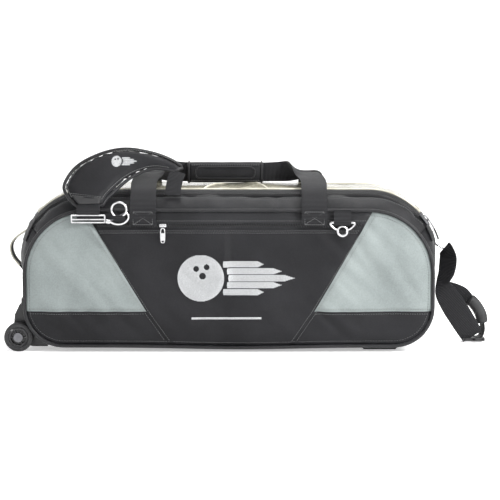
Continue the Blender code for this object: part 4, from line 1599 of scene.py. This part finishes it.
def make_zip_stops():
    """Black cloth tabs where the main zip ends at both shoulders."""
    for name, side in (("wheel_end", -1), ("pull_end", 1)):
        along = side * (LID_REACH + 0.010)
        stations = [
            (
                skin(side * (LID_REACH + step), share, 0.0022),
                skin(along, share + 0.01) - skin(along, share),
                0.022,
            )
            for step, share in ((-0.006, -0.72), (0.004, -0.74), (0.016, -0.76), (0.028, -0.77))
        ]
        tab = band(f"{name}_zip_tab", stations, 0.0022, NYLON, 5, 6)
        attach(tab, "bag")


def make_grab_strap():
    """A webbing loop bound in cream vinyl along its edges, with a sewn tail."""
    route = [
        (-0.3570, 0.2040),
        (-0.3690, 0.1965),
        (-0.3805, 0.1880),
        (-0.3880, 0.1770),
        (-0.3890, 0.1660),
        (-0.3840, 0.1520),
        (-0.3735, 0.1390),
        (-0.3635, 0.1260),
    ]
    stations = [(place(x, 0, z), ALONG_Y, 0.030) for x, z in route]
    webbing = band("end_grab_webbing", stations, 0.0026, WEBBING, 8, 8)
    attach(webbing, "bag")
    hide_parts("end_grab_strap")
    edges = []
    for side in (-1, 1):
        path = smooth_path([place(x, side * 0.0155, z) for x, z in route[:7]], 6)
        edges.append(tube("edge", path, 0.0017, CREAM_TRIM_AND_PAINTED_HIGHLIGHT, 8))
    edges = joined("end_grab_edges", edges)
    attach(edges, "bag")
    for x, z, low in ((-0.3600, 0.2035, 0.190), (-0.3645, 0.1250, 0.112)):
        rows = [
            (place(x - 0.0003, 0, z), ALONG_Y, 0.034),
            (place(x - 0.0010 * (z < 0.15), 0, (z + low) / 2), ALONG_Y, 0.034),
            (place(x + 0.0012 * (z < 0.15), 0, low), ALONG_Y, 0.034),
        ]
        if z < 0.15:
            patch = band("end_grab_tail", rows, 0.0022, WEBBING, 5, 8)
            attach(patch, "bag")


# ---------------------------------------------------------------- pull strap

def pull_band(name, stations, node=None):
    """Webbing of the pull strap through (x, y, z, direction of its width, width) stations."""
    rows = [(place(x, y, z), Vector(across), width) for x, y, z, across, width in stations]
    webbing = band(name, rows, 0.0028, WEBBING, 7, 10)
    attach(webbing, "pull_strap")
    if node:
        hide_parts(node)


def make_pull_strap():
    body = "pull_strap"
    low, high = (Vector(corner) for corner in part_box("pull_anchor_tab"))
    rows = [
        (Vector(((low.x + high.x) / 2 + dx, 0, z)), ALONG_Y, 0.041)
        for dx, z in (
            (-0.0040, high.z + 0.004),
            (0.0, high.z - 0.010),
            (0.0006, 0.172),
            (-0.0008, low.z + 0.004),
            (-0.0022, low.z - 0.002),
        )
    ]
    tab = band("pull_anchor_webbing", rows, 0.0020, WEBBING, 6, 8)
    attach(tab, "bag")
    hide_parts("pull_anchor_tab")
    low, high = (Vector(corner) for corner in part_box("pull_ring"))
    inset = 0.0018
    left_x, right_x = low.x + inset, high.x - inset
    corners = [
        (left_x, low.y + 0.004, 0.176),
        (left_x, 0, 0.1762),
        (left_x, high.y - 0.004, 0.176),
        (left_x + 0.004, high.y - inset, 0.1745),
    ]
    corners += [
        (right_x - 0.003, high.y - inset, 0.1715),
        (right_x, high.y - 0.006, 0.170),
        (right_x, 0, 0.1698),
        (right_x, low.y + 0.006, 0.170),
    ]
    corners += [(right_x - 0.003, low.y + inset, 0.1715), (left_x + 0.004, low.y + inset, 0.1745)]
    ring = tube(
        "pull_ring_wire",
        smooth_path([Vector(point) for point in corners], 5, closed=True),
        0.0019,
        METAL,
        12,
        closed=True,
    )
    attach(ring, body)
    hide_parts("pull_ring")
    drop = (0.86, 0.0, 0.50)
    upper = [
        (0.3838, -0.005, 0.1695, (0.60, -0.80, 0.0), 0.034),
        (0.3862, -0.007, 0.1650, (0.62, -0.78, 0.0), 0.036),
        (0.3895, -0.010, 0.1500, (0.72, -0.70, 0.0), 0.038),
        (0.3870, -0.011, 0.1280, (0.78, -0.62, 0.0), 0.034),
        (0.3810, -0.011, 0.1090, (0.84, -0.45, 0.2), 0.026),
        (0.3855, -0.012, 0.0900, drop, 0.038),
        (0.3985, -0.013, 0.0680, drop, 0.043),
        (0.4130, -0.014, 0.0450, drop, 0.043),
        (0.4270, -0.013, 0.0230, drop, 0.041),
        (0.4345, -0.011, 0.0110, drop, 0.038),
    ]
    pull_band("pull_strap_webbing", upper, "pull_webbing")
    route = [
        (0.4300, 0.002, 0.0760),
        (0.4360, 0.002, 0.0710),
        (0.4440, 0.002, 0.0610),
        (0.4505, 0.002, 0.0480),
    ]
    route.append((0.4530, 0.002, 0.0340))
    path = smooth_path([place(*point) for point in route], 8)

    def ribbed(t):
        return 0.0108 * (
            0.93 + 0.07 * abs(math.sin(t * math.pi * 13))
        ) * (0.86 + 0.14 * eased(min(t, 1 - t), 0.0, 0.06))

    grip = tube("pull_tube_grip", path, ribbed, RUBBER, 20)
    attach(grip, body)
    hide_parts("pull_grip")
    level = (0.50, 0.0, 0.87)
    back = [
        (0.3770, 0.001, 0.1030, level, 0.012),
        (0.3880, 0.003, 0.0970, level, 0.024),
        (0.4040, 0.004, 0.0890, level, 0.030),
        (0.4180, 0.004, 0.0825, level, 0.029),
        (0.4310, 0.003, 0.0755, level, 0.018),
    ]
    pull_band("pull_return_strap", back, "pull_return_webbing")
    tail = [
        (0.4530, 0.002, 0.0360, (0.3, -0.95, 0.0), 0.016),
        (0.4530, 0.001, 0.0220, (0.3, -0.95, 0.0), 0.020),
        (0.4490, -0.001, 0.0105, (0.2, -0.97, 0.0), 0.022),
        (0.4360, -0.003, 0.0078, (0.1, -0.99, 0.0), 0.022),
    ]
    pull_band("pull_grip_tail", tail)
    low, high = (Vector(corner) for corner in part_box("pull_slide_buckle"))
    bars_x = (low.x + 0.003, (low.x + high.x) / 2, high.x - 0.003)
    pieces = [
        block("rail", (x - 0.003, low.y, low.z), (x + 0.003, high.y, high.z), PLASTIC, 0.0012)
        for x in bars_x
    ]
    for y0, y1 in ((low.y, low.y + 0.004), (high.y - 0.004, high.y)):
        pieces.append(
            block("rail", (low.x + 0.002, y0, low.z), (high.x - 0.002, y1, high.z), PLASTIC, 0.0012)
        )
    buckle = joined("pull_ladder_buckle", pieces)
    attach(buckle, body)
    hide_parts("pull_slide_buckle")


# ---------------------------------------------------------------- wheels and feet

def turned(name, centre, profile, sides, material):
    """A closed profile of (radius, y) turned about the wheel's line."""
    points, faces = [], []
    size = len(profile)
    for step in range(sides):
        angle = 2 * math.pi * step / sides
        for radius, y in profile:
            points.append(centre + Vector((radius * math.cos(angle), y, radius * math.sin(angle))))
    for step in range(sides):
        here, after = step * size, (step + 1) % sides * size
        faces += [(here + j, here + (j + 1) % size, after + (j + 1) % size, after + j) for j in range(size)]
    return face_out(new_piece(name, points, faces, material, 35))


def make_wheels():
    for name, side in (("front", -1), ("rear", 1)):
        body = f"{name}_wheel"
        low, high = (Vector(corner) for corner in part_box(f"{name}_wheel_tyre"))
        centre = (low + high) / 2
        radius, half = (high.z - low.z) / 2, (high.y - low.y) / 2
        bead = 0.0168
        tread = [
            (bead, half - 0.0012),
            (bead, -half + 0.0012),
            (bead + 0.0014, -half),
            (radius - 0.0040, -half),
        ]
        tread += [(radius - 0.0012, -half + 0.0014), (radius, -half + 0.0040)]
        for groove_y in (-0.0035, 0.0035):
            tread += [(radius, groove_y - 0.0009), (radius - 0.0010, groove_y - 0.0005)]
            tread += [(radius - 0.0010, groove_y + 0.0005), (radius, groove_y + 0.0009)]
        tread += [
            (radius, half - 0.0040),
            (radius - 0.0012, half - 0.0014),
            (radius - 0.0040, half),
            (bead + 0.0014, half),
        ]
        tyre = turned(f"{name}_tyre", centre, tread, 72, RUBBER)
        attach(tyre, body)
        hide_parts(f"{name}_wheel_tyre")
        bore = 0.0045
        disc = [
            (bore, 0.0105),
            (bore, -0.0105),
            (0.0068, -0.0110),
            (0.0072, -0.0060),
            (0.0125, -0.0055),
            (0.0135, -0.0100),
        ]
        disc += [
            (0.0163, -0.0105),
            (0.0163, 0.0105),
            (0.0135, 0.0100),
            (0.0125, 0.0055),
            (0.0072, 0.0060),
            (0.0068, 0.0110),
        ]
        pieces = [turned("disc", centre, disc, 48, PLASTIC)]
        for spoke in range(6):
            angle = math.pi / 3 * spoke
            run = Vector((math.cos(angle), 0, math.sin(angle)))
            across = Vector((-math.sin(angle), 0, math.cos(angle)))
            stations = [(centre + run * reach, across, 0.0028) for reach in (0.0062, 0.0100, 0.0142)]
            pieces.append(band("spoke", stations, 0.0180, PLASTIC, 1, 4))
        hub = joined(f"{name}_hub", pieces)
        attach(hub, body)
        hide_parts(f"{name}_wheel_hub")
        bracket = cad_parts[f"{name}_wheel_bracket"]
        soften(bracket, 0.0012, 3)
        repaint(PLASTIC, f"{name}_wheel_bracket")
        repaint(DARK_METAL, f"{name}_axle")
        repaint(RUBBER, f"{name}_skid_foot")
        make_fender(name, side)


def make_fender(name, side):
    """The moulded guard that wraps the corner above each wheel and covers the bracket's screws."""
    rows = []
    near, far = 0.062, 0.1035
    for step in range(19):
        along = -(SIDE_RUN - 0.012 + step * 0.0070)
        rows.append((skin(along, side * 0.66, 0.0022), ALONG_Y, far - near))
    guard = band(
        f"{name}_corner_guard",
        [(Vector((p.x, side * (near + far) / 2, p.z)), a, w) for p, a, w in rows],
        0.0024,
        PLASTIC,
        2,
        8,
    )
    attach(guard, "bag")
    marks = []
    for along in (-(SIDE_RUN - 0.004), -(SIDE_RUN + 0.104)):
        for share in (near + 0.008, far - 0.008):
            point = skin(along, side * share / DEPTH_HALF, 0.0034)
            out = skin_out(along, side * 0.6)
            marks.append((point, ALONG_Y, out))
    screws = bars(f"{name}_guard_screws", marks, 0.0058, 0.0058, 0.0012, METAL)
    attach(screws, "bag")


def repaint(material, node):
    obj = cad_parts[node]
    for held in obj.material_slots:
        held.material = material


# ---------------------------------------------------------------- inside

def make_inside():
    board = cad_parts["base_board"]
    soften(board, 0.0010, 2)
    repaint(PLASTIC, "base_board")
    for name in ("left_ball_divider", "right_ball_divider"):
        low, high = (Vector(corner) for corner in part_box(name))
        centre = (low + high) / 2
        ys, zs = spread(low.y, high.y, 30), spread(low.z, high.z, 28)
        points, faces = [], []
        for level in (1, -1):
            for y in ys:
                for z in zs:
                    edge = min(y - low.y, high.y - y, z - low.z, high.z - z)
                    slope = max(0.0, (abs(y) - 0.100) + (z - 0.215) * 0.9)
                    trim = min(max(slope, 0.0), 0.020) if z > 0.215 else 0.0
                    quilt = abs(math.sin((y + z) * 62)) ** 0.5 * abs(math.sin((y - z) * 62)) ** 0.5
                    thick = (high.x - low.x) / 2 * (0.30 + 0.50 * eased(edge, 0.0, 0.012) + 0.18 * quilt)
                    points.append(Vector((centre.x + level * thick, y, z - trim)))
        rows, columns = len(ys), len(zs)
        sheet_size = rows * columns

        def corner(level, row, column):
            return level * sheet_size + row * columns + column

        for row in range(rows - 1):
            for column in range(columns - 1):
                cell = [(row, column), (row, column + 1), (row + 1, column + 1), (row + 1, column)]
                faces.append(tuple(corner(0, *spot) for spot in cell))
                faces.append(tuple(corner(1, *spot) for spot in reversed(cell)))
        rim = [(0, column) for column in range(columns - 1)] + [(row, columns - 1) for row in range(rows - 1)]
        rim += [
            (rows - 1, column)
            for column in range(columns - 1, 0, -1)
        ] + [(row, 0) for row in range(rows - 1, 0, -1)]
        for i, spot in enumerate(rim):
            after = rim[(i + 1) % len(rim)]
            faces.append((corner(0, *after), corner(0, *spot), corner(1, *spot), corner(1, *after)))
        pad = face_out(new_piece(f"{name}_pad", points, faces, FOAM, 80))
        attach(pad, "bag")
        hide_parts(name)


# ---------------------------------------------------------------- studio

def make_studio():
    profile = [
        (4.6 + 1.4 * math.sin(angle), 1.4 - 1.4 * math.cos(angle))
        for angle in spread(0, math.pi / 2, 13)
    ]
    profile.append((6.0, 6.0))
    sides = 64
    points = []
    for reach, height in profile:
        for step in range(sides):
            angle = 2 * math.pi * step / sides
            points.append(Vector((reach * math.cos(angle), reach * math.sin(angle), height)))
    faces = [tuple(range(sides))]
    for i in range(len(profile) - 1):
        for step in range(sides):
            here, after = i * sides + step, i * sides + (step + 1) % sides
            faces.append((here, after, after + sides, here + sides))
    material, _, shader = new_material("studio_paper", (0.90, 0.90, 0.90), 0.8)
    shader.inputs["Emission Color"].default_value = (1.0, 1.0, 1.0, 1)
    shader.inputs["Emission Strength"].default_value = 0.42
    floor = new_piece("studio_floor", points, faces, material, 60)

    world = bpy.data.worlds.new("studio")
    bpy.context.scene.world = world
    bpy.context.scene.view_settings.view_transform = "Standard"
    world.use_nodes = True
    background = world.node_tree.nodes["Background"]
    background.inputs["Color"].default_value = (1.0, 1.0, 1.0, 1)
    background.inputs["Strength"].default_value = 0.36
    area_light("key", (1.55, -1.25, 1.45), 0.8, 62)
    area_light("fill", (-2.0, -1.8, 1.1), 1.6, 5)
    area_light("top", (0.2, 0.4, 2.2), 1.6, 34)


def area_light(name, spot, size, power):
    data = bpy.data.lights.new(name, "AREA")
    data.shape = "DISK"
    data.size = size
    data.energy = power
    light = bpy.data.objects.new(name, data)
    light.location = spot
    aim = Vector((0, 0, 0.15)) - Vector(spot)
    light.rotation_euler = aim.to_track_quat("-Z", "Y").to_euler()
    bpy.context.collection.objects.link(light)


def make_camera():
    """A long lens a little above the bag, looking straight at its front."""
    distance, elevation = 3.3, math.radians(5.5)
    frame_width = 0.860
    data = bpy.data.cameras.new("camera")
    data.sensor_width = 36.0
    data.lens = data.sensor_width * distance / frame_width
    camera = bpy.data.objects.new("camera", data)
    target = Vector((0.0, -DEPTH_HALF, 0.177))
    camera.location = target + Vector((0, -math.cos(elevation), math.sin(elevation))) * distance
    camera.rotation_euler = (target - camera.location).to_track_quat("-Z", "Y").to_euler()
    bpy.context.collection.objects.link(camera)
    bpy.context.scene.camera = camera


def main():
    make_camera()
    make_studio()
    make_front()
    make_rear()
    make_gussets()
    make_ends()
    make_piping()
    make_front_stitching()
    make_main_zip()
    make_pocket_zip()
    make_lid()
    make_handle("front", -1)
    make_handle("rear", 1)
    make_shoulder_pad()
    make_strap_hardware()
    make_emblem()
    make_right_ring()
    make_sliders()
    make_zip_stops()
    make_grab_strap()
    make_pull_strap()
    make_wheels()
    make_inside()


main()
